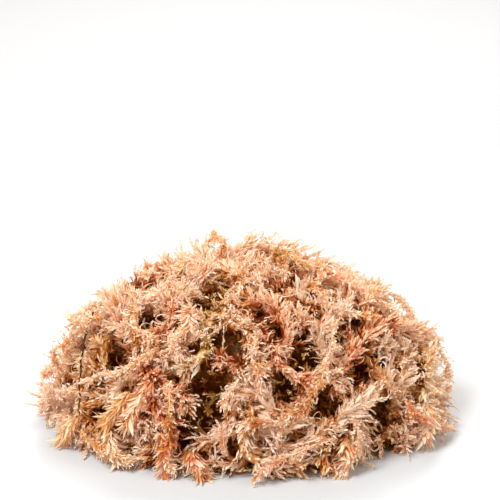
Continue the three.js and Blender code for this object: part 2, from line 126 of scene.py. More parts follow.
def draw(*keys):
    """A fixed draw between 0 and 1 for a row of whole numbers."""
    bits = SEED
    for key in keys:
        bits = ((bits ^ (key + 0x9E3779B9)) * 0x85EBCA6B) & WORD
        bits ^= bits >> 13
        bits = (bits * 0xC2B2AE35) & WORD
        bits ^= bits >> 16
    return bits / 4294967296


def on_heap(around, up, share):
    a, u = math.radians(around), math.radians(up)
    way = [math.sin(a) * math.cos(u), -math.cos(a) * math.cos(u), math.sin(u)]
    return np.array(way) * HEAP * share


def share_of(points):
    return np.linalg.norm(points / HEAP, axis=-1)


def unit(vectors):
    return vectors / np.maximum(np.linalg.norm(vectors, axis=-1, keepdims=True), 1e-9)


def outward_at(points):
    return unit(points / HEAP**2)


print("the top of the heap is at", on_heap(0, 90, 1))

# %% The strands of the front and top, and the hollows
FRONT_STRANDS = [
    ("cream", -75, 76, 160, 62, -185, 0.1),
    ("tan", -105, 56, 90, 72, -30, 0),
    ("coral", -98, 40, 110, 58, 40, 0),
    ("blush", -100, 76, 0, 78, -110, 0),
    ("cream", 140, 76, 130, 76, 150, 0),
    ("coral", 20, 70, -120, 62, 90, 0),
    ("olive", 0, 76, -120, 48, -10, 0),
    ("tan", 110, 72, -170, 72, 60, 0),
    ("blush", 115, 62, 180, 84, 120, 0),
    ("cream", -12, 62, -150, 92, 30, 0),
    ("tan", -96, 46, -60, 68, -10, 0),
    ("cream", -85, 20, 35, 92, -190, 0),
    ("coral", -62, 22, 15, 82, -190, 0),
    ("amber", -66, 6, 25, 62, -10, 0),
    ("amber", -30, 42, -105, 66, 50, 0),
    ("cream", -24, 38, -70, 76, -50, 0),
    ("cream", -6, 30, -75, 62, -30, 0),
    ("tan", -6, 52, -65, 60, 15, 0),
    ("coral", 0, 35, 45, 56, 50, 0),
    ("tan", 6, 30, -115, 60, 60, 0),
    ("cream", 42, 50, -140, 104, -45, 0),
    ("amber", 42, 40, -90, 56, -60, 0),
    ("tan", 56, 52, -65, 72, 30, 0),
    ("cream", 32, 66, -40, 68, 10, 0),
    ("coral", 38, 26, 5, 78, -20, 0),
    ("olive", 62, 32, -5, 72, -150, 0),
    ("cream", 30, 26, -85, 60, -50, 0),
    ("coral", 86, 22, -120, 62, -30, 0),
    ("cream", 14, 14, -20, 56, 60, 0),
    ("tan", 44, 8, 10, 64, -10, 0),
]
TWIG = ("bark", -88, 42, -18, 54, -28, 0)
TWIG_DEPTH = 0.965
FRONT_HOLLOWS = [
    (-52, 53, 6.5),
    (-29, 72, 6.5),
    (-13, 32, 7),
    (-10, 22, 5),
    (20, 40, 6),
    (12, 31, 6),
    (24, 24, 5.5),
    (43, 32, 5.5),
    (45, 16, 7),
    (-52, 33, 6.5),
    (41, 46, 4.5),
    (-6, 47, 4.5),
]
# Smaller gaps between the strands, that only the fine branches and leaves keep out of, and in which
# shade is painted as in the hollows.
NOOKS = [
    (18, 2, 4),
    (14, 14, 4),
    (-68, 34, 3.5),
    (-21, 45, 4),
    (5, 60, 4),
    (-43, 17, 4.5),
    (-25, 33, 3.5),
    (13, 53, 4),
    (54, 34, 3.5),
    (77, 78, 3.5),
    (-65, 40, 3.5),
    (-4, 10, 4),
    (-41, 23, 3),
    (32, 15, 3),
    (45, 4, 4),
    (52, 40, 3.5),
    (93, 44, 3.5),
    (-28, 63, 4),
    (-20, 1, 3),
    (-80, 58, 3),
    (37, 48, 3.5),
    (0, 4, 4),
    (-27, 5, 3.5),
    (-37, 6, 3),
    (-13, 7, 3),
    (64, 6, 3.5),
]
# Where the heap is paler, or darker: degrees around and up, millimetres, and how much.
AREAS = [
    (-72, 10, 22, 0.3),
    (-45, 10, 18, 0.2),
    (-30, 24, 14, 0.2),
    (-10, 38, 16, 0.35),
    (-18, 55, 14, 0.25),
    (-50, 55, 14, -0.2),
    (2, 8, 18, -0.18),
    (10, 22, 14, -0.12),
    (28, 22, 12, -0.08),
    (30, 40, 15, 0.3),
    (38, 22, 14, 0.12),
    (18, 56, 14, 0.12),
    (-75, 30, 12, 0.1),
    (-15, 78, 18, -0.16),
    (60, 40, 14, 0.1),
    (74, 14, 20, 0.2),
    (55, 5, 14, 0.15),
]
BACK_HOLLOWS = 9
BACK_HOLLOW_RADIUS = 6
BACK_FROM, BACK_SPAN = 96, 168  # degrees around the heap: where its back starts, and its width
BACK_STRANDS = 22
BACK_TONES = ["cream", "tan", "cream", "blush", "tan", "coral", "cream", "amber"]


def back_strand(i):
    around = BACK_FROM + BACK_SPAN * ((i * GOLDEN + 0.35) % 1)
    up = math.degrees(math.asin(0.06 + 0.9 * (i + 0.5) / BACK_STRANDS))
    tone = BACK_TONES[int(draw(i, 1) * len(BACK_TONES))]
    return tone, around, up, 360 * draw(i, 2), 74 + 30 * draw(i, 3), 300 * draw(i, 4) - 150, 0


hollow_rows = list(FRONT_HOLLOWS)
for i in range(BACK_HOLLOWS):
    around = 100 + 160 * ((i * GOLDEN + 0.2) % 1)
    hollow_rows.append((around, 12 + 58 * (i + 0.5) / BACK_HOLLOWS, BACK_HOLLOW_RADIUS))
hollow_middles = np.array([on_heap(around, up, LAY_DEPTH) for around, up, _ in hollow_rows])
hollow_radii = np.array([radius for _, _, radius in hollow_rows])
pit_rows = hollow_rows + NOOKS
pit_middles = np.array([on_heap(around, up, LAY_DEPTH) for around, up, _ in pit_rows])
pit_radii = np.array([radius for _, _, radius in pit_rows])
rows = FRONT_STRANDS + [back_strand(i) for i in range(BACK_STRANDS)] + [TWIG]
print(len(rows), "plants,", len(hollow_rows), "hollows and", len(NOOKS), "nooks")


# %% Walk each strand over the heap
def turned(vector, axis, angle):
    across = np.cross(axis, vector)
    along = axis * np.dot(axis, vector) * (1 - math.cos(angle))
    return vector * math.cos(angle) + across * math.sin(angle) + along


def walk(start, heading, length, bend, depth, lift, tucked):
    count = math.floor(length / STEP + 0.5) + 1
    points, shares = [], []
    point, forward = start.copy(), None
    for i in range(count):
        t = i / (count - 1)
        outward = outward_at(point)
        if forward is None:
            right = unit(np.cross((0, 0, 1), outward))
            upward = np.cross(outward, right)
            angle = math.radians(heading)
            forward = right * math.cos(angle) + upward * math.sin(angle)
        else:
            forward = turned(forward, outward, math.radians(bend) / (count - 1))
        sunk = TUCK * max(0, 1 - t / TUCKED_SHARE) if tucked else 0
        share = depth - sunk + lift * math.sin(math.pi * t)
        points.append(point.copy())
        shares.append(share)
        forward = unit(forward - outward * np.dot(forward, outward))
        point = point + forward * STEP
        point[2] = max(point[2], FLOOR_CLEARANCE)
        point = point * (share / share_of(point))
        point[2] = max(point[2], FLOOR_CLEARANCE)
    return {"points": np.array(points), "shares": np.array(shares)}


plants, chains = [], []
for index, (tone, around, up, heading, length, bend, lift) in enumerate(rows):
    is_twig = tone == "bark"
    depth = TWIG_DEPTH if is_twig else LAY_DEPTH + LAYERING * (draw(index, 8) - 0.5)
    start = on_heap(around, up, depth)
    stem = walk(start, heading, length, bend, depth, lift, not is_twig)
    stem.update(plant=index, parent=None, fork=0, tone=tone)
    chains.append(stem)
    plants.append({"tone": tone, "chains": [stem]})
    if length < SHOOT_FROM or is_twig:
        continue
    steps = len(stem["points"])
    fork = FIRST_FORK + int(draw(index, 5) * (steps - FORK_MARGIN))
    side = -1 if draw(index, 6) < 0.5 else 1
    heading = heading + bend * fork / (steps - 1) + side * SHOOT_ANGLE
    length = SHOOT_LENGTH * (0.8 + 0.4 * draw(index, 7))
    shoot = walk(stem["points"][fork], heading, length, side * SHOOT_BEND, depth, 0, False)
    shoot.update(plant=index, parent=stem, fork=fork, tone=tone)
    chains.append(shoot)
    plants[-1]["chains"].append(shoot)
print(len(chains), "chains of points")

# %% [markdown]
# ## Let the strands ease apart
# The strands first lie through each other. In small rounds every point is pushed off the points of
# other strands, out of the hollows and back to its own layer of the heap, while the steps along a
# strand keep their length and its bends stay wide. The whole heap is one array, so a round is a few
# matrix products.

# %% Ease the strands apart
# Rounds, the room that points ask for in them, and how hard they push.
EASING = [(40, 2 * SPACING, 0.05), (100, SPACING, 0.22), (30, CLOSEST, 0.5)]
# For points so many steps apart along a strand, how many steps' length stays between them.
STIFFNESS = {2: 1.8, 3: 2.4, 4: 2.8}
HOLLOW_PUSH = 0.25
LAYER_PULL = 0.15
SMOOTHING = 0.1
STEP_PULL = 0.35
BEND_PUSH = 0.3
RELATED = 4  # steps along a strand within which its points may lie close
UNRELATED = 9999

loose = [chain for chain in chains if chain["tone"] != "bark"]
chain_of = np.concatenate([[k] * len(chain["points"]) for k, chain in enumerate(loose)])
place_in = np.concatenate([np.arange(len(chain["points"])) for chain in loose])
targets = np.concatenate([chain["shares"] for chain in loose])
first_of = np.searchsorted(chain_of, np.arange(len(loose)))
numbered = {id(chain): k for k, chain in enumerate(loose)}

same = chain_of[:, None] == chain_of[None, :]
steps_apart = np.where(same, abs(place_in[:, None] - place_in[None, :]), UNRELATED)
for k, chain in enumerate(loose):
    if chain["parent"] is not None:
        mine = np.flatnonzero(chain_of == k)
        theirs = np.flatnonzero(chain_of == numbered[id(chain["parent"])])
        apart = place_in[mine][:, None] + abs(place_in[theirs] - chain["fork"])[None, :]
        steps_apart[np.ix_(mine, theirs)] = apart
        steps_apart[np.ix_(theirs, mine)] = apart.T
strangers = steps_apart > RELATED


def pushed_off(points, others, room, strength, allowed=None):
    """The move that keeps points the given room away from others."""
    squares = (points**2).sum(1)[:, None] + (others**2).sum(1)[None, :] - 2 * points @ others.T
    distance = np.sqrt(np.maximum(squares, 1e-12))
    push = np.where(distance < room, strength * (room - distance) / distance, 0)
    if allowed is not None:
        push = push * allowed
    return points * push.sum(1)[:, None] - push @ others


def neighbours(offset):
    """For each point of a strand, which has another so many steps along it, and which that is."""
    other = np.arange(len(place_in)) + offset
    inside = (other >= 0) & (other < len(place_in))
    other = np.where(inside, other, 0)
    return inside & (chain_of[other] == chain_of), other


def ease(points, spacing, push):
    move = pushed_off(points, points, spacing, push, strangers)
    move += pushed_off(points, hollow_middles, hollow_radii[None, :] + HOLLOW_MARGIN, HOLLOW_PUSH)
    now = share_of(points)
    move += points * (LAYER_PULL * (targets - now) / now)[:, None]
    has_last, last = neighbours(-1)
    has_next, after = neighbours(1)
    between = has_last & has_next
    move += SMOOTHING * (points[last] + points[after] - 2 * points) * between[:, None]
    for has, other in ((has_last, last), (has_next, after)):
        away = points[other] - points
        distance = np.maximum(np.linalg.norm(away, axis=1), 1e-9)
        move += away * (has * STEP_PULL * (distance - STEP) / distance)[:, None]
    for offset, least in STIFFNESS.items():
        for has, other in (neighbours(-offset), neighbours(offset)):
            away = points - points[other]
            distance = np.maximum(np.linalg.norm(away, axis=1), 1e-9)
            short = has & (distance < least * STEP)
            move += away * (short * BEND_PUSH * (least * STEP - distance) / distance)[:, None]
    points = points + move
    now = share_of(points)
    outermost = np.where(points[:, 2] > HEAP[2] * TOP_FROM, 1, OUTERMOST)
    points = points * (np.clip(now, DEEPEST, outermost) / now)[:, None]
    points[:, 2] = np.maximum(points[:, 2], FLOOR_CLEARANCE)
    points = np.floor(points * TICKS + 0.5) / TICKS
    for k, chain in enumerate(loose):
        if chain["parent"] is not None:
            points[first_of[k]] = points[first_of[numbered[id(chain["parent"])]] + chain["fork"]]
    return points


points = np.concatenate([chain["points"] for chain in loose])
for rounds, spacing, push in EASING:
    for _ in range(rounds):
        points = ease(points, spacing, push)
for k, chain in enumerate(loose):
    chain["points"] = points[chain_of == k]
total = sum(np.linalg.norm(np.diff(c["points"], axis=0), axis=1).sum() for c in loose)
print(len(points), "points and", round(total / 1000, 2), "m of strand")

# %% [markdown]
# ## Read the branches of the CAD strands
# In the CAD model a branch is a face of the stem raised to a point. So a corner that stands well
# off the strand's line is the tip of a branch, and the middle of the corners it is joined to is its
# foot. Fine branches grow from near the same feet to near the same tips, which keeps the outline.


# %% Read tips and feet from a packed strand
STANDS_OFF = 3.4  # from a strand's line, at least, for a branch's tip


def off_line(places, chain_points):
    """How far places are from a line through points."""
    start, way = chain_points[:-1], np.diff(chain_points, axis=0)
    from_start = places[:, None, :] - start[None]
    t = (from_start * way).sum(-1) / (way**2).sum(-1)
    nearest = start + np.clip(t, 0, 1)[..., None] * way
    return np.linalg.norm(places[:, None, :] - nearest, axis=-1).min(1)


def feet_and_tips(node, plant):
    mesh = frame["nodes"][node].data
    places = np.empty(3 * len(mesh.vertices))
    mesh.vertices.foreach_get("co", places)
    places = places.reshape(-1, 3) * 1000
    corners = np.empty(2 * len(mesh.edges), int)
    mesh.edges.foreach_get("vertices", corners)
    _, first, merged = np.unique(
        np.round(places, 3), axis=0, return_index=True, return_inverse=True
    )
    merged = merged.reshape(-1)
    edges = np.unique(np.sort(merged[corners].reshape(-1, 2), axis=1), axis=0)
    edges = edges[edges[:, 0] != edges[:, 1]]
    places = places[first]
    distance = np.min([off_line(places, c["points"]) for c in plant["chains"]], axis=0)
    is_tip = distance > STANDS_OFF
    feet, count = np.zeros_like(places), np.zeros(len(places))
    for one, other in (edges.T, edges.T[::-1]):
        joined = is_tip[one] & ~is_tip[other]
        np.add.at(feet, one[joined], places[other[joined]])
        np.add.at(count, one[joined], 1)
    found = is_tip & (count > 0)
    return feet[found] / count[found][:, None], places[found]


tone_counts = {}
for plant in plants:
    tone_counts[plant["tone"]] = tone_counts.get(plant["tone"], 0) + 1
    number = f"{tone_counts[plant['tone']]:02d}"
    is_twig = plant["tone"] == "bark"
    plant["node"] = "bark_twig" if is_twig else f"strand_{plant['tone']}_{number}"
    if not is_twig:
        plant["feet"], plant["tips"] = feet_and_tips(plant["node"], plant)
print(sum(len(p["tips"]) for p in plants[:-1]), "branches read from the CAD strands")

# %% [markdown]
# ## Leaves, ribbons and threads as arrays
# A clump has more than a hundred thousand leaves, so nothing here is made one object at a time. A
# leaf is six points: its foot, two pairs of sides and a tip, which make a twisted blade of four
# triangles. Leaves are worked out together as arrays, and each gets its own cell of the UV map, so
# that none shares a baked finish with another.


# %% A growing pile of triangles
# Painted shade: the bottom of a pit is painted darker in the colour.
PIT_SHADE = 0.82  # how much darker the bottom of a pit is
TIP_PALER = 0.36  # how much lighter a leaf's tip is than its foot
# Painted shade: what lies under the outer leaves of a strand is painted darker, and what stands out
# lighter.
ROPE_SHADE = 0.5  # how much lighter what stands out of a strand is than what lies under it
ROPE_HEIGHT = 5
AT_ONCE = 4000  # corners measured against a line together, which keeps the arrays small
FLOOR_GAP = 0.15  # what would reach lower lies flat on the floor instead


def rise_over(line, places):
    """How far places stand out of the heap from the nearest point of a line."""
    nearest = np.empty(len(places), int)
    for start in range(0, len(places), AT_ONCE):
        away = places[start : start + AT_ONCE, None] - line[None]
        nearest[start : start + AT_ONCE] = (away**2).sum(-1).argmin(1)
    foot = line[nearest]
    return ((places - foot) * outward_at(foot)).sum(-1)


class Pile:
    """Corners and triangles of one piece, with the finish values of each corner."""

    def __init__(self, paler=0):
        self.paler = paler
        self.corners, self.triangles, self.values, self.cells = [], [], [], []
        self.count = 0
        self.cell_count = 0

    def add(self, corners, triangles, values, uvs):
        """corners (n, k, 3), triangles (m, 3) of one, values (n, k, 3), and uvs (m, 3, 2)."""
        n, k = corners.shape[:2]
        starts = self.count + k * np.arange(n)
        self.corners.append(corners.reshape(-1, 3))
        self.values.append(values.reshape(-1, values.shape[-1]) + (0, 0, self.paler))
        self.triangles.append((starts[:, None, None] + triangles[None]).reshape(-1, 3))
        cell = self.cell_count + np.arange(n)
        uvs = np.broadcast_to(uvs[None], (n,) + uvs.shape)
        self.cells.append((np.repeat(cell, len(triangles)), uvs.reshape(-1, 3, 2)))
        self.count += n * k
        self.cell_count += n

    def object(self, name, line=None):
        """The piece. Near a line of points, if there is one, what stands out of it is painted
        lighter and what lies under it darker, as shade.
        """
        corners = np.concatenate(self.corners)
        corners[:, 2] = np.maximum(corners[:, 2], FLOOR_GAP)
        triangles = np.concatenate(self.triangles)
        mesh = bpy.data.meshes.new(name)
        mesh.vertices.add(len(corners))
        mesh.vertices.foreach_set("co", (corners * 0.001).ravel())
        mesh.loops.add(3 * len(triangles))
        mesh.loops.foreach_set("vertex_index", triangles.ravel().astype(np.int32))
        mesh.polygons.add(len(triangles))
        mesh.polygons.foreach_set("loop_start", np.arange(0, 3 * len(triangles), 3, dtype=np.int32))
        mesh.polygons.foreach_set("use_smooth", np.ones(len(triangles), bool))
        mesh.update(calc_edges=True)
        values = np.concatenate(self.values)
        if line is not None:
            # Painted shade: darker under the outer leaves of a strand, lighter on what stands out of
            # it.
            rise = np.clip(rise_over(line, corners) / ROPE_HEIGHT, -0.5, 1)
            values[:, 2] += ROPE_SHADE * (rise - 0.35)
        for k, label in enumerate(("branch", "leaf", "light")):
            layer = mesh.attributes.new(label, "FLOAT", "POINT")
            layer.data.foreach_set("value", values[:, k].astype(np.float32))
        side = math.ceil(math.sqrt(self.cell_count))
        cell = np.concatenate([c for c, _ in self.cells])
        uv = np.concatenate([u for _, u in self.cells])
        corner = np.stack([cell % side, cell // side], -1)[:, None, :]
        uv = (corner + 0.04 + 0.92 * uv) / side
        mesh.uv_layers.new(name="OFBake").data.foreach_set("uv", uv.ravel().astype(np.float32))
        piece = bpy.data.objects.new(name, mesh)
        scene.collection.objects.link(piece)
        return piece


# %% Light and shade in the heap
# A hollow opens straight out of the heap, but those of the front lean towards the camera's side.
PIT_LEAN = 0.8
# Painted shade: the colour is darkened deep in the heap and in its pits, from these shares inwards.
DARK_SHARE, LIGHT_DEPTH = 0.8, 0.15  # shares of the heap: where it is dark, and how soon light
PIT_MOUTH, PIT_FADE = 0.99, 0.08  # the same for the shade in a pit, from its mouth inwards

pit_ways = outward_at(pit_middles)
is_in_front = pit_ways @ np.array(backward) > 0.2
pit_ways[is_in_front] += PIT_LEAN * np.array(backward)
pit_ways = unit(pit_ways)


def off_axis(places, pit):
    """How far places are from the axis of a pit, and how far along it they are from its middle."""
    away = places - pit_middles[pit]
    height = away @ pit_ways[pit]
    return np.linalg.norm(away - height[..., None] * pit_ways[pit], axis=-1), height


def deep_light(places):
    """Painted shade: 0 deep in the heap and in its pits, 1 on its outside."""
    share = share_of(places)
    light = np.clip((share - DARK_SHARE) / LIGHT_DEPTH, 0, 1)
    shade = PIT_SHADE * np.clip((PIT_MOUTH - share) / PIT_FADE, 0, 1)
    for pit, radius in enumerate(pit_radii):
        across, _ = off_axis(places, pit)
        light = light * (1 - shade * np.exp(-((across / radius) ** 2)))
    return light


area_middles = np.array([on_heap(around, up, 0.95) for around, up, _, _ in AREAS])


def paler_in_areas(places):
    """How much paler than elsewhere the heap is made at places."""
    total = np.zeros(places.shape[:-1])
    for middle, (_, _, radius, amount) in zip(area_middles, AREAS):
        total += amount * np.exp(-((places - middle) ** 2).sum(-1) / radius**2)
    return total


def finish_values(corners, branch, leaf, light):
    """What a corner's colour depends on: its branch, its leaf, and how light it is: how bleached,
    darkened by painted shade deep in the heap and in its pits.
    """
    values = np.empty(corners.shape)
    values[..., 0] = branch[:, None]
    values[..., 1] = leaf[:, None]
    # Painted shade: deep_light darkens corners deep in the heap and in its pits.
    values[..., 2] = (light + paler_in_areas(corners)) * (0.12 + 0.88 * deep_light(corners))
    return values


print(int(is_in_front.sum()), "of", len(pit_ways), "hollows and nooks open to the front")

# %% Leaves
LOW, HIGH = 0.35, 0.72  # where along a leaf its two pairs of sides lie
HIGH_WIDTH = 0.72  # of the upper pair, as a share of the lower
LEAF_TRIANGLES = np.array([[0, 2, 1], [1, 2, 4], [1, 4, 3], [3, 4, 5]])
LEAF_PLAN = np.array([[0.5, 0], [0, LOW], [1, LOW], [0.14, HIGH], [0.86, HIGH], [0.5, 1]])
LEAF_ALONG = LEAF_PLAN[:, 1]


def add_leaves(pile, foot, way, back, length, width, curl, branch, leaf, light):
    """Pointed leaves that leave foot along way, curl towards back by an angle, and twist."""
    side = np.cross(way, back)
    twist = (leaf - 0.5)[..., None]
    upper = side * np.cos(twist) + back * np.sin(twist)
    long, half, bend = length[..., None], 0.5 * width[..., None], curl[..., None]

    def middle(s):
        return foot + long * (way * (s - bend**2 * s**3 / 6) + back * bend * s**2 / 2)

    low, high = middle(LOW), middle(HIGH)
    corners = [foot, low + side * half, low - side * half]
    corners += [high + upper * half * HIGH_WIDTH, high - upper * half * HIGH_WIDTH, middle(1)]
    corners = np.stack(corners, axis=-2).reshape(-1, 6, 3)
    light = light.reshape(-1, 1) + TIP_PALER * (LEAF_ALONG - 0.5)[None]
    values = finish_values(corners, branch.reshape(-1), leaf.reshape(-1), light)
    pile.add(corners, LEAF_TRIANGLES, values, LEAF_PLAN[LEAF_TRIANGLES])


def grid_triangles(rows, columns, closed):
    """Triangles and UVs of a grid of corners, of which the last column may join the first."""
    triangles, uvs = [], []
    last = columns if closed else columns - 1
    for i in range(rows - 1):
        for s in range(last):
            a, b = i * columns + s, i * columns + (s + 1) % columns
            c, d = b + columns, a + columns
            left, right = s / last, (s + 1) / last
            low, high = i / (rows - 1), (i + 1) / (rows - 1)
            triangles += [[a, b, c], [a, c, d]]
            uvs += [[[left, low], [right, low], [right, high]]]
            uvs += [[[left, low], [right, high], [left, high]]]
    return np.array(triangles), np.array(uvs)


print("a leaf has", len(LEAF_TRIANGLES), "triangles")


# %% Threads and ribbons
def bezier(curves, t):
    """Places and ways on cubic curves: curves (n, 4, 3) and t (n, k)."""
    u = t[..., None]
    v = 1 - u
    a, b, c, d = (curves[:, None, j] for j in range(4))
    place = v**3 * a + 3 * v**2 * u * b + 3 * v * u**2 * c + u**3 * d
    return place, unit(v**2 * (b - a) + 2 * v * u * (c - b) + u**2 * (d - c))


def add_threads(pile, paths, radii, sides, branch, light):
    """Thin tubes along paths (n, k, 3), with radii and light (n, k)."""
    n, k = paths.shape[:2]
    along = unit(np.gradient(paths, axis=1))
    hint = np.where(abs(along[:, :1, 2:]) > 0.8, [[[1.0, 0, 0]]], [[[0, 0, 1.0]]])
    across = unit(np.cross(along, hint))
    other = np.cross(along, across)
    angle = 2 * np.pi * np.arange(sides)[None, None, :, None] / sides
    ring = across[:, :, None] * np.cos(angle) + other[:, :, None] * np.sin(angle)
    corners = (paths[:, :, None] + ring * radii[:, :, None, None]).reshape(n, k * sides, 3)
    values = finish_values(corners, branch, 0.5 + 0 * branch, np.repeat(light, sides, axis=-1))
    triangles, uvs = grid_triangles(k, sides, True)
    pile.add(corners, triangles, values, uvs)


def add_ribbons(pile, rng, curves, width, rows, light):
    """Creased, twisted ribbons on cubic curves, pointed at both ends, as large single leaves."""
    n = len(curves)
    t = np.broadcast_to(np.linspace(0, 1, rows), (n, rows))
    place, along = bezier(curves, t)
    across = unit(np.cross(along, unit(rng.normal(size=(n, 1, 3)))))
    turn = (2 * np.pi * rng.random((n, 1)) + rng.normal(size=(n, 1)) * 1.1 * t)[..., None]
    side = across * np.cos(turn) + np.cross(along, across) * np.sin(turn)
    half = 0.5 * width[:, None] * np.sin(np.pi * (0.1 + 0.9 * t) ** 0.8)
    half = np.maximum(half, 0.03)[..., None]
    crease = np.cross(side, along) * half * 0.45
    corners = np.stack([place - side * half, place + crease, place + side * half], axis=2)
    corners = corners.reshape(n, 3 * rows, 3)
    light = np.repeat(light[:, :1] * (1 - t) + light[:, 1:] * t, 3, axis=-1)
    values = finish_values(corners, rng.random(n), rng.random(n), light)
    triangles, uvs = grid_triangles(rows, 3, False)
    pile.add(corners, triangles, values, uvs)


# %% [markdown]
# ## Branches covered with leaves
# A branch is a short curve that narrows to a point. Its leaves stand on it in a spiral, each a
# golden angle round from the last, as on the real plant. They overlap like tiles and lie close to
# it, so from a step away a branch is a scaly, curved spike.

# %% Leafy branches
GOLDEN_ANGLE = math.radians(137.508)


def add_branches(pile, rng, curves, leaves, spread, leaf_length, light, stalk=0.4):
    """Leafy branches on cubic curves, with how light each is at its foot and its tip (n, 2)."""
    n = len(curves)
    if n == 0:
        return
    branch = rng.random(n)
    t = (np.arange(leaves) + 0.25 + 0.4 * rng.random((n, leaves))) / (leaves + 0.6)
    place, along = bezier(curves, t)
    across = unit(np.cross(along, unit(rng.normal(size=(n, 1, 3)))))
    angle = GOLDEN_ANGLE * np.arange(leaves)[None] + 2 * np.pi * rng.random((n, 1))
    angle = (angle + 0.35 * rng.normal(size=angle.shape))[..., None]
    radial = across * np.cos(angle) + np.cross(along, across) * np.sin(angle)
    lean = np.radians(spread)[:, None] * (1.2 - 0.8 * t) * (0.5 + rng.random(t.shape))
    lean = lean[..., None]
    way = along * np.cos(lean) + radial * np.sin(lean)
    back = radial * np.cos(lean) - along * np.sin(lean)
    length = leaf_length[:, None] * (1.15 - 0.4 * t) * (0.75 + 0.5 * rng.random(t.shape))
    width = length * (0.3 + 0.16 * rng.random(t.shape))
    curl = -0.4 + 1.3 * rng.random(t.shape) ** 1.5
    foot = place + radial * (stalk * (1 - 0.8 * t))[..., None]
    lightness = light[:, :1] * (1 - t) + light[:, 1:] * t
    add_leaves(
        pile, foot, way, back, length, width, curl,
        np.broadcast_to(branch[:, None], t.shape), rng.random(t.shape), lightness,
    )
    t = np.broadcast_to(np.linspace(0, 1, 3), (n, 3))
    radii = stalk * (1.02 - t) * np.ones((n, 1))
    lightness = light[:, :1] * (1 - t) + light[:, 1:] * t
    add_threads(pile, bezier(curves, t)[0], radii, 3, branch, lightness)


# %% [markdown]
# ## One strand
# The stem itself hardly shows. Two coats of loose leaves lie round it like scales and make the
# strand a rope, and leafy branches sweep out of them towards the strand's head, where they crowd
# into a star. Some reach as far as the tips that the CAD model gives. Large single leaves and curled
# tendrils lie between them. The side that faces into the heap is hidden and stays nearly bare, and
# what would reach into a hollow is left out.


# %% Curves for the branches
def smooth_line(chain_points, spacing):
    """A curve through points (Catmull-Rom), as places at about equal spacing, and their share."""
    padded = np.concatenate(
        [
            2 * chain_points[:1] - chain_points[1:2],
            chain_points,
            2 * chain_points[-1:] - chain_points[-2:-1],
        ]
    )
    count = len(chain_points) - 1
    length = np.linalg.norm(np.diff(chain_points, axis=0), axis=1).sum()
    t = np.linspace(0, count - 1e-6, max(3, int(length / spacing)))
    k = t.astype(int)
    u = (t - k)[:, None]
    p0, p1, p2, p3 = (padded[k + j] for j in range(4))
    line = 0.5 * (
        2 * p1
        + (p2 - p0) * u
        + (2 * p0 - 5 * p1 + 4 * p2 - p3) * u**2
        + (3 * p1 - p0 - 3 * p2 + p3) * u**3
    )
    return line, t / count


def in_hollow(places, share=0.9):
    """Whether places (..., 3) lie in a hollow or nook, or over its mouth."""
    inside = np.zeros(places.shape[:-1], bool)
    ragged = np.sin(places @ (0.55, 0.3, 0.45)) + np.sin(places @ (-0.4, 0.7, 0.5))
    for pit, radius in enumerate(pit_radii):
        across, height = off_axis(places, pit)
        inside |= (across < (share + 0.22 * ragged) * radius) & (height > -2 * radius)
    return inside


def out_of_hollows(curves):
    return curves[~(in_hollow(curves[:, 3]) | in_hollow(curves[:, 2]))]


def swept(rng, start, along, across, lean, reach, curl):
    """Curves that leave start steeply and sweep forward to a tip, at a mean lean from along."""

    def leaning(degrees):
        angle = np.radians(degrees)[:, None]
        return along * np.cos(angle) + across * np.sin(angle)

    tip = start + leaning(lean) * reach[:, None]
    aside = unit(rng.normal(size=start.shape)) * (curl * reach)[:, None]
    first = start + leaning(lean + 22) * 0.38 * reach[:, None]
    second = tip - leaning(lean - 30) * 0.36 * reach[:, None] + aside
    return np.stack([start, first, second, tip + 0.3 * aside], axis=1)


def outward_ways(rng, line, along, widest):
    """Ways across a strand, at most so many degrees from the way out of the heap."""
    out = outward_at(line)
    out = unit(out - along * (out * along).sum(-1, keepdims=True))
    side = np.cross(along, out)
    turn = np.radians(widest * (2 * rng.random(len(line)) - 1))[:, None]
    return out * np.cos(turn) + side * np.sin(turn)


print(len(pit_rows), "hollows and nooks are kept open")

# %% Clothe a strand with loose leaves
WIDEST = 130  # degrees from the way out of the heap, past which a strand is hidden
NODE_SPACING = 1.9


def bleached(rng, count, foot=0.42, tip=0.92, spread=0.3):
    """How light leaves or branches are at foot and tip."""
    light = np.array([[foot, tip]]) + spread * (rng.random((count, 1)) - 0.5)
    return light + 0.1 * rng.normal(size=(count, 2))


def clothe(pile, rng, line, along, count, radius, length, slim, lean, free=False):
    """Leaves all round a strand, that overlap like scales and curl at their tips."""
    at = rng.integers(0, len(line) - 1, count)
    phase = 6 * rng.random()
    step = along[at] * (NODE_SPACING * rng.random((count, 1)))
    out = outward_ways(rng, line[at], along[at], 180 if free else WIDEST)
    foot = line[at] + step + out * radius * (0.7 + 0.4 * rng.random((count, 1)))
    angle = np.radians(lean * (0.5 + rng.random(count)))[:, None]
    wave = np.sin(0.5 * at + phase + 2 * (out @ np.array([1.0, 0.7, 1.3])))[:, None]
    aside = np.cross(along[at], out) * (0.55 * wave + 0.25 * rng.normal(size=(count, 1)))
    way = unit(along[at] * np.cos(angle) + out * np.sin(angle) + aside)
    back = unit(out - way * (out * way).sum(-1, keepdims=True))
    keep = free | ~in_hollow(foot + way * length * 0.6)
    foot, way, back = foot[keep], way[keep], back[keep]
    n = len(foot)
    long = length * (0.7 + 0.6 * rng.random(n))
    wide = long * (slim + 0.14 * rng.random(n))
    curl = -0.4 + 1.8 * rng.random(n) ** 1.5
    light = 0.42 + 0.36 * rng.random(n)
    add_leaves(pile, foot, way, back, long, wide, curl, rng.random(n), rng.random(n), light)


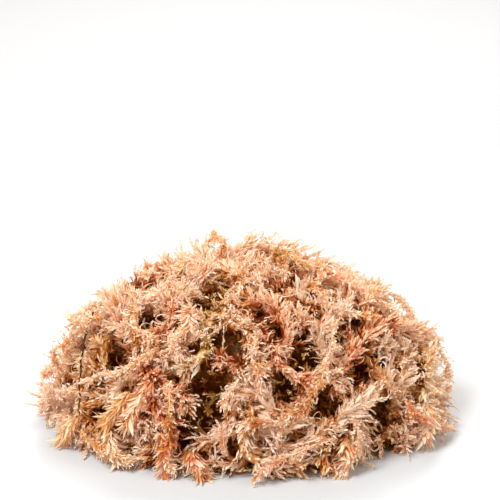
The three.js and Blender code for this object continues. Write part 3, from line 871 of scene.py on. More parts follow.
def add_curls(pile, rng, start, along, out):
    """Thin tendrils that have curled round as they dried."""
    n = len(start)
    lean = np.radians(15 + 65 * rng.random((n, 1)))
    forward = along * np.cos(lean) + out * np.sin(lean)
    inward = unit(np.cross(forward, rng.normal(size=(n, 3))))
    size = (1.8 + 2.7 * rng.random((n, 1)))[..., None]
    s = np.linspace(0, 1, 10)[None, :, None]
    angle = (1.6 + 3.4 * rng.random((n, 1, 1))) * s
    radius = size * (1 - 0.35 * s)
    aside = np.cross(forward, inward)[:, None] * size * 0.7 * rng.normal(size=(n, 1, 1)) * s
    path = start[:, None] + forward[:, None] * radius * np.sin(angle) + aside
    path = path + inward[:, None] * radius * (1 - np.cos(angle))
    radii = (0.34 + 0.14 * rng.random((n, 1))) * (1.08 - s[..., 0])
    add_threads(pile, path, radii, 3, rng.random(n), 0.85 + 0.3 * rng.random((n, 10)))


print("loose leaves lie on the outer", 2 * WIDEST, "degrees of a strand")

# %% The kinds of branches on a strand
BODY_RADIUS = 2.0
# How many there are at each node of a strand.
SCALES = 12
FLAMES = 6
SPREADING = 1.5
CROSSING = 0.2
TONGUES = 0.45
CURLS = 0.3
HEAD_BRANCHES = 20


def some_nodes(rng, line, each):
    """Nodes of a line between its ends, on average so many times each."""
    last = len(line) - 1
    return rng.integers(1, last, int(each * last))


def add_stem(pile, rng, line, along, t):
    """A stem with its two coats of loose leaves."""
    last = len(line) - 1
    radii = BODY_RADIUS * np.clip(4 * t + 0.5, 0.5, 1) * np.clip(6 - 6 * t, 0.2, 1)
    radii = radii * (0.9 + 0.2 * rng.random(len(t)))
    # The stem is dark: partly its own rust colour, partly painted shade under its leaves.
    light = 0.15 + 0.15 * rng.random((1, len(t)))
    add_threads(pile, line[None], radii[None], 8, np.array([0.4]), light)
    clothe(pile, rng, line, along, SCALES * last, BODY_RADIUS, 2.6, 0.28, 28)
    clothe(pile, rng, line, along, FLAMES * last, BODY_RADIUS * 1.4, 4.2, 0.2, 38)


def spreading_curves(rng, line, along, t, strand_lean):
    """Branches that sweep forward all along a strand, one in four of them wild."""
    at = some_nodes(rng, line, SPREADING)
    across = outward_ways(rng, line[at], along[at], WIDEST)
    wild = rng.random(len(at)) < 0.25
    lean = strand_lean + 26 * (rng.random(len(at)) - 0.5) + 45 * wild
    reach = 5.0 + 4.2 * rng.random(len(at))
    reach = reach * np.clip(0.6 + 2 * t[at], 0, 1) * (1 - 0.3 * wild)
    curl = 0.16 + 0.44 * rng.random(len(at)) ** 2
    return swept(rng, line[at] + across * 0.8, along[at], across, lean, reach, curl)


def crossing_curves(rng, line, along):
    """Branches that lie across a strand."""
    at = some_nodes(rng, line, CROSSING)
    out = outward_ways(rng, line[at], along[at], 60)
    across = unit(np.cross(out, rng.normal(size=out.shape)))
    start = line[at] + out * (2.5 + 3 * rng.random((len(at), 1))) - across * 2.5
    lean = 70 + 25 * rng.random(len(at))
    reach = 5 + 4.5 * rng.random(len(at))
    return swept(rng, start, out, across, lean, reach, 0.2 + 0 * lean)


def head_curves(rng, line, along):
    """The star of branches at a strand's head."""
    at = np.full(HEAD_BRANCHES, len(line) - 1)
    across = outward_ways(rng, line[at], along[at], 180)
    start = line[at] - along[at] * 4 * rng.random((HEAD_BRANCHES, 1)) + across * 0.4
    lean = 10 + 65 * rng.random(HEAD_BRANCHES) ** 1.2
    reach = 5 + 4.5 * rng.random(HEAD_BRANCHES)
    curl = 0.1 + 0.15 * rng.random(HEAD_BRANCHES)
    return swept(rng, start, along[at], across, lean, reach, curl)


def reaching_curves(rng, feet, tips, nearest):
    """Branches from near the feet to near the tips of the CAD model's."""
    start = 0.6 * feet + 0.4 * nearest + rng.normal(size=feet.shape) * 0.6
    tip = tips + rng.normal(size=feet.shape) * 1.2
    out = unit(feet - nearest)
    first = start + 0.3 * (tip - start) + out * 1.2
    second = tip - 0.3 * (tip - start) + out * 0.8 + rng.normal(size=feet.shape) * 0.8
    return np.stack([start, first, second, tip], axis=1)


def add_tongues(pile, rng, line, along, strand_lean):
    """Large single leaves along a strand."""
    at = some_nodes(rng, line, TONGUES)
    across = outward_ways(rng, line[at], along[at], WIDEST)
    lean = strand_lean - 8 + 40 * (rng.random(len(at)) - 0.5)
    reach = 6 + 5 * rng.random(len(at))
    curl = 0.2 + 0.4 * rng.random(len(at)) ** 2
    curves = swept(rng, line[at] + across * 1.5, along[at], across, lean, reach, curl)
    curves = out_of_hollows(curves)
    width = 1.0 + 1.0 * rng.random(len(curves))
    add_ribbons(pile, rng, curves, width, 6, bleached(rng, len(curves), 0.6, 1.0))


print("a centimetre of strand has", round(SCALES * 10 / NODE_SPACING), "scales")

# %% Build the strands
PALER = {
    "cream": 0.21,
    "tan": 0.04,
    "blush": 0.04,
    "coral": -0.12,
    "amber": -0.1,
    "olive": -0.02,
}
LEAVES = 10  # of a branch


def build_strand(plant, index):
    rng = np.random.default_rng(1000 + index)
    pile = Pile(PALER[plant["tone"]] + 0.24 * (rng.random() - 0.5))
    strand_lean = 36 + 18 * rng.random()
    leaf_size = 2.2 + 0.5 * rng.random()
    spread = 9 + 11 * rng.random()

    def branches(curves, leaves=LEAVES, **light):
        curves = out_of_hollows(curves)
        n = len(curves)
        values = bleached(rng, n, **light)
        add_branches(pile, rng, curves, leaves, np.full(n, spread), np.full(n, leaf_size), values)

    for chain in plant["chains"]:
        line, t = smooth_line(chain["points"], NODE_SPACING)
        along = unit(np.gradient(line, axis=0))
        add_stem(pile, rng, line, along, t)
        branches(spreading_curves(rng, line, along, t, strand_lean))
        add_tongues(pile, rng, line, along, strand_lean)
        branches(crossing_curves(rng, line, along), tip=0.95)
        at = some_nodes(rng, line, CURLS)
        out = outward_ways(rng, line[at], along[at], 90)
        add_curls(pile, rng, line[at] + out * 4, along[at], out)
        branches(head_curves(rng, line, along), tip=0.95)

    feet, tips = plant["feet"], plant["tips"]
    every = np.concatenate([c["points"] for c in plant["chains"]])
    nearest = every[np.linalg.norm(feet[:, None] - every[None], axis=-1).argmin(1)]
    for _ in range(2):
        branches(reaching_curves(rng, feet, tips, nearest), LEAVES + 2, tip=0.95)
    return pile.object("leafy_" + plant["node"], every)


pieces = []
for index, plant in enumerate(plants):
    if plant["tone"] != "bark":
        piece = build_strand(plant, index)
        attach(piece, "root")
        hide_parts(plant["node"])
        "moss_" + plant["tone"]
        pieces.append((piece, plant["tone"]))
sizes = [len(piece.data.polygons) for piece, _ in pieces]
print(len(pieces), "strands,", sum(sizes), "triangles, at most", max(sizes))

# %% [markdown]
# ## Sprigs, tufts and locks
# Slender sprigs have come loose from the strands. They lie over them, hang down to the floor or
# stand out of the outline. Each is a few places on the heap joined by a curve, with small leaves
# and a few short side branches. A tuft is a bunch of large single leaves. A lock is a soft bundle of
# long ones that hangs down the front. A few scraps of moss cling to the twig, so that it looks
# caught in the heap.

# %% Where the sprigs lie
# Each place is degrees around the heap, degrees up it, and the share of the way out of it.
SPRIGS = [
    (
        "cream",
        [(-111, 78, 0.95), (-129, 76, 1.03), (-147, 74, 1.07), (-114, 83, 1.06), (-104, 83, 0.95)],
    ),
    (
        "cream",
        [(41, 51, 0.97), (29, 41, 1.0), (21, 30, 1.0), (15, 23, 1.0), (8, 20, 1.01), (1, 19, 0.99)],
    ),
    ("cream", [(-33, 41, 0.96), (-35, 37, 1.0), (-40, 32, 1.0), (-47, 29, 0.99), (-55, 25, 0.97)]),
    ("cream", [(-3, 34, 0.95), (-5, 29, 1.0), (-6, 26, 1.02)]),
    ("blush", [(-5, 9, 0.96), (-6, 13, 1.0), (-7, 17, 0.99)]),
    ("cream", [(23, 12, 0.97), (15, 11, 1.01), (9, 8, 1.02), (5, 6, 1.02), (3, 3, 1.03)]),
    ("cream", [(30, 18, 0.97), (30, 12, 1.01), (28, 7, 1.02), (25, 3, 1.03)]),
    ("tan", [(72, 26, 0.96), (76, 26, 0.98), (78, 28, 1.0)]),
    ("olive", [(75, 83, 0.97), (65, 81, 1.04), (63, 76, 1.04), (85, 72, 0.97)]),
    ("cream", [(67, 54, 0.95), (72, 53, 0.99), (81, 54, 1.04)]),
    ("blush", [(-73, 22, 0.96), (-73, 25, 1.01), (-72, 28, 1.05)]),
    ("cream", [(-74, 39, 0.97), (-76, 39, 1.02), (-84, 38, 1.05)]),
    ("blush", [(-65, 15, 0.97), (-67, 17, 1.02), (-69, 18, 1.05)]),
    ("tan", [(-23, 54, 0.96), (-25, 48, 1.01), (-26, 43, 1.02), (-23, 40, 1.0)]),
    ("cream", [(-24, 32, 0.96), (-22, 24, 1.0), (-20, 16, 1.01), (-21, 8, 1.0), (-19, 3, 1.0)]),
    ("cream", [(55, 68, 0.98), (42, 59, 1.0), (46, 53, 1.0), (58, 48, 0.99)]),
    ("blush", [(6, 51, 0.97), (2, 43, 1.0), (3, 36, 1.0), (5, 30, 0.97)]),
    ("coral", [(51, 19, 0.97), (51, 14, 1.0), (58, 9, 1.0), (69, 3, 1.0)]),
    ("cream", [(-86, 50, 0.95), (-88, 44, 1.0), (-85, 38, 1.01), (-80, 33, 0.98)]),
    ("cream", [(-82, 30, 0.95), (-78, 30, 1.0), (-76, 34, 1.0)]),
    ("blush", [(-74, 12, 0.95), (-70, 14, 1.0), (-64, 17, 1.0)]),
    ("tan", [(-72, 44, 0.97), (-80, 42, 1.01), (-92, 41, 1.0)]),
    ("cream", [(-58, 20, 0.97), (-68, 16, 1.0), (-74, 10, 0.99)]),
    ("amber", [(-51, 9, 0.97), (-43, 7, 1.01), (-36, 6, 1.02), (-32, 4, 1.01)]),
]
BACK_SPRIGS = 18
# Degrees around and up of the foot, and millimetres.
TUFTS = [
    ("blush", -80, 51, 16),
    ("blush", -93, 47, 10),
    ("coral", 96, 70, 9),
    ("blush", -111, 64, 9),
    ("cream", 87, 61, 9),
    ("cream", 14, 4, 9),
    ("cream", 27, 6, 9),
]
# Locks hang down the heap: degrees around and up of the foot, the way down in degrees, millimetres.
LOCKS = [
    ("coral", -31, 31, -100, 22),
    ("amber", -36, 26, -115, 18),
    ("coral", -24, 15, -60, 17),
    ("coral", -15, 10, -75, 13),
    ("amber", -55, 13, -100, 15),
    ("cream", -40, 13, -80, 15),
    ("blush", -28, 60, -100, 14),
    ("cream", 28, 12, -95, 16),
    ("cream", 60, 14, -100, 14),
]
LOCK_LEAVES = 230
TUFT_LEAVES = 14
TWIG_SCRAPS = [(0.14, 0.3), (0.46, 0.64), (0.8, 0.98)]  # shares of the twig's length


def wander(rng):
    """Places of a sprig somewhere on the back."""
    around, up = BACK_FROM + BACK_SPAN * rng.random(), 8 + 66 * rng.random()
    heading = 2 * np.pi * rng.random()
    places = []
    for share in (0.95, 0.98, 0.99, 0.98, 0.96)[: rng.integers(3, 6)]:
        places.append((around, up, share))
        around += 7 * math.cos(heading) / math.cos(math.radians(up))
        up = min(max(up + 8 * math.sin(heading), 3), 80)
        heading += 0.6 * rng.normal()
    return places


sprig_rng = np.random.default_rng(31)
SPRIG_TONES = ["cream", "tan", "blush", "coral", "amber", "olive"]
BACK_SPRIG_TONES = 4  # of these, the first few
sprigs = SPRIGS + [
    (SPRIG_TONES[i % BACK_SPRIG_TONES], wander(sprig_rng)) for i in range(BACK_SPRIGS)
]
print(len(sprigs), "sprigs,", len(TUFTS), "tufts and", len(LOCKS), "locks")


# %% Grow the sprigs and tufts
def add_sprig(pile, rng, places):
    line, t = smooth_line(np.array([on_heap(*place) for place in places]), 1.1)
    wobble = np.sin(np.outer(t * len(t), (0.5, 0.37, 0.43)) + 6 * rng.random(3)) * 0.5
    line = line + wobble
    along = unit(np.gradient(line, axis=0))
    last = len(line) - 1
    radii = 0.55 * (1.15 - t)
    add_threads(pile, line[None], radii[None], 5, np.array([0.5]), np.full((1, last + 1), 0.6))
    clothe(pile, rng, line, along, 9 * last, 0.5, 2.1, 0.28, 30, free=True)
    at = some_nodes(rng, line, 0.75)
    across = outward_ways(rng, line[at], along[at], 150)
    lean = 30 + 35 * rng.random(len(at))
    reach = (3.2 + 3.2 * rng.random(len(at))) * (1.1 - 0.4 * t[at])
    curves = swept(rng, line[at], along[at], across, lean, reach, 0.2 + 0.4 * rng.random(len(at)))
    ends = np.full(5, last)
    across = outward_ways(rng, line[ends], along[ends], 180)
    lean = 10 + 35 * rng.random(5)
    reach = 3 + 2 * rng.random(5)
    end_curves = swept(rng, line[ends], along[ends], across, lean, reach, 0.1 + 0 * lean)
    curves = np.concatenate([curves, end_curves])
    n = len(curves)
    light = bleached(rng, n, 0.6, 1.0)
    add_branches(pile, rng, curves, 7, np.full(n, 20), np.full(n, 2.0), light, 0.2)


def add_tuft(pile, rng, around, up, length):
    """Large single leaves that stand together."""
    foot = on_heap(around, up, 0.93)
    out = outward_at(foot)
    n = TUFT_LEAVES
    start = foot + rng.normal(size=(n, 3)) * 1.6
    way = unit(out + 0.35 * rng.normal(size=(n, 3)))
    reach = length * (0.6 + 0.4 * rng.random((n, 1)))
    bend = 0.25 * reach * unit(np.cross(way, rng.normal(size=(n, 3))))
    first, second = start + way * reach * 0.35 + bend, start + way * reach * 0.7 + bend
    curves = np.stack([start, first, second, start + way * reach], axis=1)
    add_ribbons(pile, rng, curves, 1.5 + 0.8 * rng.random(n), 7, bleached(rng, n, 0.4, 1.0, 0.2))


def add_lock(pile, rng, around, up, heading, length):
    """Long soft leaves that flow down a curve, closer at its foot than at its tip."""
    foot = on_heap(around, up, 0.96)
    out = outward_at(foot)
    right = unit(np.cross((0, 0, 1), out))
    angle = math.radians(heading)
    down = right * math.cos(angle) + np.cross(out, right) * math.sin(angle)
    sway = np.cross(out, down) * (0.3 * rng.random() - 0.15)
    places = [foot + (down + sway * k) * length * k / 3 + out * 1.5 * math.sin(k) for k in range(4)]
    line, t = smooth_line(np.array(places), 0.8)
    line[:, 2] = np.maximum(line[:, 2], 2)
    along = unit(np.gradient(line, axis=0))
    radius = 0.8 + 2.2 * t[:-1].mean()
    for share, size in ((0.4, 3.6), (0.4, 5), (0.2, 6.5)):
        clothe(pile, rng, line, along, int(LOCK_LEAVES * share), radius, size, 0.1, 20, free=True)


def add_scraps(pile, rng, line, stretches):
    """Scraps of moss that cling to stretches of a line, each between two shares of its length."""
    line, t = smooth_line(line, 0.8)
    along = unit(np.gradient(line, axis=0))
    for start, end in stretches:
        part = (t > start) & (t < end)
        clothe(pile, rng, line[part], along[part], 50, 0.7, 2.6, 0.26, 40, free=True)


for tone in SPRIG_TONES:
    pile = Pile()
    if tone == "tan":
        add_scraps(pile, sprig_rng, plants[-1]["chains"][0]["points"], TWIG_SCRAPS)
    for lock_tone, *lock in LOCKS:
        if lock_tone == tone:
            add_lock(pile, sprig_rng, *lock)
    for sprig_tone, places in sprigs:
        if sprig_tone == tone:
            add_sprig(pile, sprig_rng, places)
    for tuft_tone, *tuft in TUFTS:
        if tuft_tone == tone:
            add_tuft(pile, sprig_rng, *tuft)
    piece = pile.object("sprigs_" + tone)
    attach(piece, "root")
    "moss_" + tone
    pieces.append((piece, tone))
    print("sprigs of", tone, "with", len(piece.data.polygons), "triangles")

# %% [markdown]
# ## The tangle inside
# Between the strands the eye looks down into a dark mass of broken moss, whose darkness is painted
# shade. Its body is the CAD model's mound, made again with a finer surface. Over that lies a litter
# of small branches, so that a hollow ends in leaves and not in a bare wall. The deeper they lie, the
# darker they are painted.

# %% The mound's surface
CORE_SIZE = 0.69
CORE_FLARE = 0.05
CORE_LUMPS = 0.025
CORE_MARGIN = 0.04  # between the tangle and the deepest strands
PIT_DEPTH = 0.13  # of the pit under a hollow, as a share of the heap
PIT_WIDTH = 1.3  # and its radius, as a share of the hollow's
REST_RADIUS = 42
UNDERSIDE = 3

wave_ways, wave_phases = [], []
for i in range(14):
    way = np.array([draw(i, 31) - 0.5, draw(i, 32) - 0.5, draw(i, 33) - 0.5])
    wave_ways.append(unit(way) * (5 + 7 * draw(i, 34)))
    wave_phases.append(7 * draw(i, 35))


def core_share(places):
    """How far out the tangle reaches on the lines to these places."""
    way = unit(places / HEAP)
    lumps = np.sin(way @ np.array(wave_ways).T + np.array(wave_phases)).sum(-1)
    share = CORE_SIZE + CORE_FLARE * (1 - way[..., 2]) ** 3 + CORE_LUMPS * lumps / 3
    for middle, radius in zip(hollow_middles, hollow_radii):
        across = np.linalg.norm(way - unit(middle / HEAP), axis=-1) * HEAP[2]
        share = share - PIT_DEPTH * np.exp(-((across / (radius * PIT_WIDTH)) ** 2))
    return np.minimum(share, DEEPEST - CORE_MARGIN)


COLUMNS, LEVELS = 180, 64
around = np.radians(np.linspace(0, 360, COLUMNS, endpoint=False))[None, :]
up = np.radians(np.linspace(2, 90, LEVELS))[:, None]
way = np.stack(
    [np.sin(around) * np.cos(up), -np.cos(around) * np.cos(up), np.sin(up) + 0 * around], -1
)
mound = way * HEAP
mound = mound * core_share(mound)[..., None]
ripple = np.sin(mound @ np.array([1.1, 0.7, 0.4])) * np.sin(mound @ np.array([-0.5, 0.9, 1.2]))
ripple += np.sin(mound @ np.array([0.4, -1.3, 0.8])) * np.sin(mound @ np.array([1.3, 0.2, -0.9]))
mound = mound + outward_at(mound) * (0.7 * ripple)[..., None]
mound[..., 2] = np.maximum(mound[..., 2], UNDERSIDE)
rest = np.stack(
    [np.sin(around[0]), -np.cos(around[0]) * HEAP[1] / HEAP[0], 0 * around[0]], -1
) * REST_RADIUS
rings = np.concatenate([rest[None] * 0.001, rest[None], mound])
print("the mound is", np.ptp(rings[..., 0]).round(1), "mm wide")

# %% Make the mound
mound_pile = Pile()
triangles, uvs = grid_triangles(len(rings), COLUMNS, True)
corners = rings.reshape(1, -1, 3)
# Painted shade: the mound is painted dark, as the inside of the heap lies in shade.
dark = np.full((1, corners.shape[1]), 0.1)
values = finish_values(corners, np.array([0.5]), np.array([0.5]), dark)
mound_pile.add(corners, triangles, values, uvs)
mound_piece = mound_pile.object("tangle_mound")
print("the mound has", len(mound_piece.data.polygons), "triangles")

# %% Scatter the litter
DEEP_LITTER = 500  # on the mound
PIT_LITTER = 520  # on the walls of the hollows and nooks
FILL = 800  # between the mound and the strands
RIM_LITTER = 360  # on the floor, under the strands
litter_rng = np.random.default_rng(77)
litter_pile = Pile()


def scatter(rng, count):
    """Places all over the heap's surface."""
    around = 2 * np.pi * rng.random(count)
    up = np.arcsin(rng.random(count) * 0.98)
    ways = [np.sin(around) * np.cos(up), -np.cos(around) * np.cos(up), np.sin(up)]
    return np.stack(ways, -1) * HEAP


def litter(rng, start, way, reach, foot, tip):
    """Short curled branches from start along way."""
    middle = start + way * 0.5 * reach + 1.5 * rng.normal(size=start.shape)
    end = start + way * reach
    second = (middle + end) / 2 + rng.normal(size=start.shape)
    curves = np.stack([start, middle, second, end], axis=1)
    n = len(curves)
    spread, size = 20 + 14 * rng.random(n), np.full(n, 2.3)
    add_branches(litter_pile, rng, curves, 12, spread, size, bleached(rng, n, foot, tip))


def litter_the_mound(rng, n):
    place = scatter(rng, n)
    place *= core_share(place)[:, None]
    outward = outward_at(place)
    across = unit(np.cross(outward, rng.normal(size=place.shape)))
    way = unit(outward * (0.2 + 0.5 * rng.random((n, 1))) + across)
    litter(rng, place - outward * 0.8, way, 6 + 6 * rng.random((n, 1)), 0.2, 0.7)


def litter_the_pits(rng, n):
    pits = rng.integers(0, len(pit_middles), n)
    axis = pit_ways[pits]
    across = unit(np.cross(axis, rng.normal(size=axis.shape)))
    width = pit_radii[pits][:, None] * (0.5 + 0.8 * rng.random((n, 1)))
    place = pit_middles[pits] + across * width - axis * (3 + 15 * rng.random((n, 1)))
    way = unit(np.cross(axis, across) * rng.normal(size=(n, 1)) + axis * 0.7 - across * 0.3)
    litter(rng, place, way, 5 + 5 * rng.random((n, 1)), 0.9, 1.6)


def fill_the_middle(rng, n):
    place = scatter(rng, n) * (0.75 + 0.08 * rng.random((n, 1)))
    place = place[~in_hollow(place, 1.3)]
    outward = outward_at(place)
    across = unit(np.cross(outward, rng.normal(size=place.shape)))
    way = unit(outward * 0.6 * rng.random((len(place), 1)) + across)
    litter(rng, place, way, 7 + 5 * rng.random((len(place), 1)), 0.5, 0.95)


def litter_the_rim(rng, n):
    around = 2 * np.pi * rng.random(n)
    share = 0.7 + 0.2 * rng.random(n)
    place = np.stack([np.sin(around) * share, -np.cos(around) * share, 0 * share], -1) * HEAP
    place[:, 2] = 1.2 + 5 * rng.random(n)
    heading = 2 * np.pi * rng.random(n)
    way = unit(np.stack([np.cos(heading), np.sin(heading), 0.25 * rng.normal(size=n)], -1))
    litter(rng, place, way, 6 + 5 * rng.random((n, 1)), 0.7, 1.1)


litter_the_mound(litter_rng, DEEP_LITTER)
litter_the_pits(litter_rng, PIT_LITTER)
fill_the_middle(litter_rng, FILL)
litter_the_rim(litter_rng, RIM_LITTER)
litter_piece = litter_pile.object("tangle_litter")
for piece in (mound_piece, litter_piece):
    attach(piece, "root")
    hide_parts("inner_tangle")
    pieces.append((piece, "umber"))
print("litter of", len(litter_piece.data.polygons), "triangles")

# %% [markdown]
# ## The twig
# One thin bare twig lies caught in the strands. It keeps the CAD model's line, thins towards its
# end, and has four knots and two stubs, so that it doesn't look like wire.

# %% The twig
TWIG_RADIUS = 0.6
KNOTS = np.array([0.12, 0.37, 0.58, 0.83])  # shares of the twig's length
KNOT_LENGTH = 0.012
STUBS = [(0.37, 1), (0.58, -1)]  # where they are, and on which side
twig_pile = Pile()
line, t = smooth_line(plants[-1]["chains"][0]["points"], 0.8)
knots = np.exp(-(((t[:, None] - KNOTS) / KNOT_LENGTH) ** 2)).sum(1)
radii = TWIG_RADIUS * (1 - 0.45 * t) * (1 + 0.2 * knots)
radii[-1] = 0.15
wobble = np.stack([np.sin(t * 31), np.sin(t * 23 + 1), np.sin(t * 27 + 2)], -1) * 0.3
add_threads(twig_pile, (line + wobble)[None], radii[None], 10, np.array([0.5]), 0.5 + 0 * t[None])
for k, side in STUBS:
    i = int(k * len(line))
    along = unit(line[i + 1] - line[i - 1])
    stub_way = unit(along + side * np.cross(along, outward_at(line[i])))
    stub = line[i] + wobble[i] + stub_way * np.linspace(0, 3.2, 5)[:, None]
    stub_radii = np.array([[0.5, 0.42, 0.36, 0.3, 0.05]])
    add_threads(twig_pile, stub[None], stub_radii, 8, np.array([0.4]), np.full((1, 5), 0.5))
twig_piece = twig_pile.object("twig")
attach(twig_piece, "root")
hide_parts("bark_twig")
pieces.append((twig_piece, "bark"))
print("twig of", len(twig_piece.data.polygons), "triangles")

# %% [markdown]
# ## Shader maths
# A shader is written as an expression. The class below wraps an output socket, and each operator
# adds a Math node, so `1 - mask` or `noise * 0.5` can be written as they are read.


# %% Sockets with operators
class Socket:
    def __init__(self, tree, socket):
        self.tree, self.socket = tree, socket

    def math(self, operation, one, other):
        settings = {"operation": operation}
        return Shader(self.tree).node("ShaderNodeMath", settings, {0: one, 1: other})

    def __add__(self, other):
        return self.math("ADD", self, other)

    def __mul__(self, other):
        return self.math("MULTIPLY", self, other)

    def __sub__(self, other):
        return self.math("SUBTRACT", self, other)

    def __rsub__(self, other):
        return self.math("SUBTRACT", other, self)

    __radd__ = __add__
    __rmul__ = __mul__


class Shader:
    def __init__(self, tree):
        self.tree = tree

    def node(self, kind, settings=None, inputs=None, output=0):
        """Adds a node of that kind: first its settings, then its sockets' values or links."""
        node = self.tree.nodes.new(kind)
        for name, value in (settings or {}).items():
            if name == "stops":
                ramp = node.color_ramp.elements
                while len(ramp) < len(value):
                    ramp.new(0.5)
                for stop, (position, colour) in zip(ramp, value):
                    stop.position, stop.color = position, (*colour, 1)
            else:
                setattr(node, name, value)
        for name, value in (inputs or {}).items():
            if isinstance(value, Socket):
                self.tree.links.new(value.socket, node.inputs[name])
            else:
                node.inputs[name].default_value = value
        return Socket(self.tree, node.outputs[output]) if node.outputs else node

    def attribute(self, name):
        return self.node("ShaderNodeAttribute", {"attribute_name": name}, output="Fac")

    def noise(self, scale, detail=3.0, roughness=0.55):
        vector = self.node("ShaderNodeTexCoord", output="Object")
        values = {"Vector": vector, "Scale": scale, "Detail": detail, "Roughness": roughness}
        return self.node("ShaderNodeTexNoise", None, values)

    def ramp(self, factor, *stops):
        return self.node("ShaderNodeValToRGB", {"stops": stops}, {"Fac": factor})

    def mix(self, factor, one, other):
        settings = {"data_type": "RGBA", "blend_type": "MIX"}
        return self.node("ShaderNodeMix", settings, {0: factor, 6: one, 7: other}, output=2)

    def between(self, value, low, high):
        """0 below low, 1 above high and smooth between."""
        settings = {"interpolation_type": "SMOOTHSTEP"}
        values = {"Value": value, "From Min": low, "From Max": high}
        return self.node("ShaderNodeMapRange", settings, values)


def linear(code):
    """A colour such as E0B080 as linear numbers."""
    parts = [int(code[i : i + 2], 16) / 255 for i in (0, 2, 4)]
    return tuple(c / 12.92 if c <= 0.04045 else ((c + 0.055) / 1.055) ** 2.4 for c in parts)


print("E0B080 is", [round(c, 3) for c in linear("E0B080")])

# %% [markdown]
# ## Dried moss
# Dried moss is papery. Its leaf tips have bleached to cream or pink, and towards the stem it keeps
# its rust, amber or olive. So the colour runs along a ramp, and each strand has patches of a second
# tone. How far along the ramp a corner lies is the mesh attribute light, to which the shader adds
# soft areas of bleaching. That attribute holds painted shade too: it is lower deep in the heap, in
# the hollows and under the outer leaves of each strand, so that these are painted darker. Some light
# passes through the thin leaves, which a translucent shader mixed with the papery one gives.

# %% Moss materials
# Each tone: its darkest colour, painted shade deep in the heap and in its hollows, next to the stem,
# its body, its pale parts and its bleached tips.
TONES = {
    "cream": ("5A1800", "AE6218", "E1B172", "E7DEBE", "EAE6D6"),
    "tan": ("4A1200", "A25612", "D8A062", "E5D2AA", "EAE0CA"),
    "blush": ("581200", "AE5020", "E09E78", "EACAB2", "EDDFD2"),
    "coral": ("500C00", "9A3A0C", "C86E48", "E2AE8E", "EAD4C0"),
    "amber": ("481000", "9C4E00", "D28C32", "E4BE82", "EAD8B0"),
    "olive": ("341600", "7C5808", "BCA24C", "DCCE92", "E6E0C0"),
    "umber": ("3C1000", "642C04", "9A6026", "C49A5A", "DABE94"),
}
# The tone in which each has patches, and how much of it they cover.
PATCHES = {
    "cream": ("blush", 0.3),
    "tan": ("cream", 0.4),
    "blush": ("cream", 0.4),
    "coral": ("tan", 0.45),
    "amber": ("tan", 0.4),
    "olive": ("cream", 0.5),
    "umber": ("olive", 0.3),
}
STOPS = (0.0, 0.14, 0.37, 0.59, 0.87)  # where the five colours of a tone lie on its ramp
BLEACH_MIDDLE = 1.44  # about the mean of the two noises that bleach the moss
THINNESS = 0.45  # share of the light that passes through
THROUGH_LEAVES = (1.0, 0.57, 0.27, 1)  # the colour of light that has passed through dry leaves


def moss_material(tone):
    material = bpy.data.materials.new("moss_" + tone)
    material.use_nodes = True
    tree = material.node_tree
    tree.nodes.clear()
    shader = Shader(tree)
    branch, leaf, light = (shader.attribute(name) for name in ("branch", "leaf", "light"))
    wide = shader.noise(48.0, 2.0) * 0.6 + shader.noise(170.0, 1.0) * 0.4
    fine = shader.noise(900.0, 3.0)
    bleach = shader.noise(45.0, 1.0) * 1.6 + shader.noise(110.0, 1.0) * 1.3
    level = light + (leaf - 0.5) * 0.14 + (fine - 0.5) * 0.22 + (bleach - BLEACH_MIDDLE)
    patch_tone, cover = PATCHES[tone]
    main, other = (
        shader.ramp(level, *zip(STOPS, map(linear, TONES[name]))) for name in (tone, patch_tone)
    )
    here = wide + (branch - 0.5) * 0.4
    patched = shader.between(here, 0.62 - 0.35 * cover, 0.74 - 0.35 * cover)
    colour = shader.mix(patched, main, other)
    relief = shader.noise(1500.0, 2.0)
    normal = shader.node(
        "ShaderNodeBump", None, {"Strength": 0.35, "Distance": 0.0004, "Height": relief}, "Normal"
    )
    values = {
        "Base Color": colour,
        "Roughness": fine * 0.3 + 0.6,
        "Specular IOR Level": 0.04,
        "Normal": normal,
    }
    paper = shader.node("ShaderNodeBsdfPrincipled", None, values)
    through = shader.node("ShaderNodeBsdfTranslucent", None, {"Color": THROUGH_LEAVES})
    surface = shader.node("ShaderNodeMixShader", None, {0: THINNESS, 1: paper, 2: through})
    shader.node("ShaderNodeOutputMaterial", None, {"Surface": surface})
    return material


materials = {tone: moss_material(tone) for tone in TONES}
print(len(materials), "moss materials")
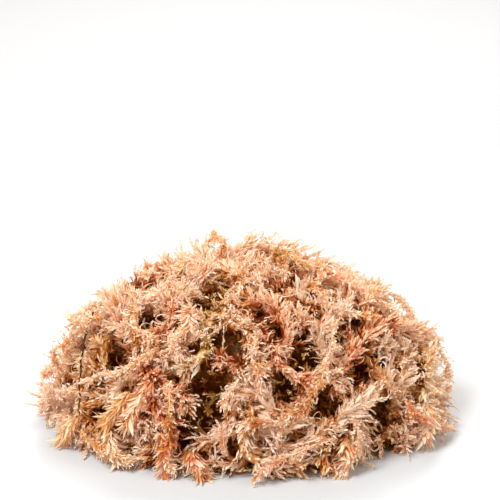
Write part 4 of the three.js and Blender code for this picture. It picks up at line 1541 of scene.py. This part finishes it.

# %% [markdown]
# ## Bark
# The twig's bark is dark and dull, with fine cracks. One fine noise gives both its colour and its
# relief, so that the cracks are dark where they are deep: partly the bark's own colour, partly
# painted shade in them.


# %% Bark material
def bark_material():
    material = bpy.data.materials.new("bark")
    material.use_nodes = True
    tree = material.node_tree
    tree.nodes.clear()
    shader = Shader(tree)
    cracks = shader.noise(1400.0, 4.0, 0.7)
    # The cracks are darkest where deepest: partly the bark's own colour, partly painted shade.
    stops = (0.3, linear("1E0E06")), (0.55, linear("4E2E18")), (0.8, linear("82603E"))
    colour = shader.ramp(cracks, *stops)
    normal = shader.node(
        "ShaderNodeBump", None, {"Strength": 0.8, "Distance": 0.0004, "Height": cracks}, "Normal"
    )
    values = {"Base Color": colour, "Roughness": 0.85, "Specular IOR Level": 0.1, "Normal": normal}
    surface = shader.node("ShaderNodeBsdfPrincipled", None, values)
    shader.node("ShaderNodeOutputMaterial", None, {"Surface": surface})
    return material


materials["bark"] = bark_material()
for piece, tone in pieces:
    piece.data.materials.append(materials[tone])
print(len(pieces), "pieces have their finish")

# %% [markdown]
# ## Floor and light
# The clump stands on a pale floor in soft studio light. One large lamp above and in front gives the
# strands their form, and a weaker one fills from the right. One behind lifts the rim, and another
# far behind keeps the floor white at the back. The warm surroundings stand for light that has passed
# through the moss.

# %% Floor, lamps and surroundings
floor_mesh = bpy.data.meshes.new("floor")
floor_mesh.from_pydata([(-4, -4, 0), (4, -4, 0), (4, 4, 0), (-4, 4, 0)], [], [(0, 1, 2, 3)])
floor = bpy.data.objects.new("floor", floor_mesh)
scene.collection.objects.link(floor)
floor_material = bpy.data.materials.new("floor")
floor_material.use_nodes = True
finish = floor_material.node_tree.nodes["Principled BSDF"]
finish.inputs["Base Color"].default_value = (0.46, 0.475, 0.5, 1)
finish.inputs["Roughness"].default_value = 0.5
floor_mesh.materials.append(floor_material)


def lamp(name, place, target, size, power, colour=(1, 1, 1)):
    light = bpy.data.lights.new(name, "AREA")
    light.shape = "SQUARE"
    light.size = size
    light.energy = power
    light.color = colour
    thing = bpy.data.objects.new(name, light)
    scene.collection.objects.link(thing)
    thing.location = place
    aim(thing, target)


lamp("key", (-0.5, -0.55, 1.0), (0, 0, 0.03), 0.5, 22.3, (0.94, 0.99, 1))
lamp("fill", (0.9, -0.6, 0.6), (0, 0, 0.03), 0.8, 6.2, (0.94, 0.99, 1))
lamp("rim", (0.1, 0.9, 0.9), (0, 0, 0.05), 0.7, 6)
lamp("backdrop", (0, 1.35, 1.0), (0, 1.15, 0), 1.0, 13)
world = bpy.data.worlds.new("studio")
world.use_nodes = True
world.node_tree.nodes["Background"].inputs["Color"].default_value = (1, 0.86, 0.7, 1)
world.node_tree.nodes["Background"].inputs["Strength"].default_value = 0.6
scene.world = world
scene.view_settings.view_transform = "Standard"
print("lamps and floor are in place")
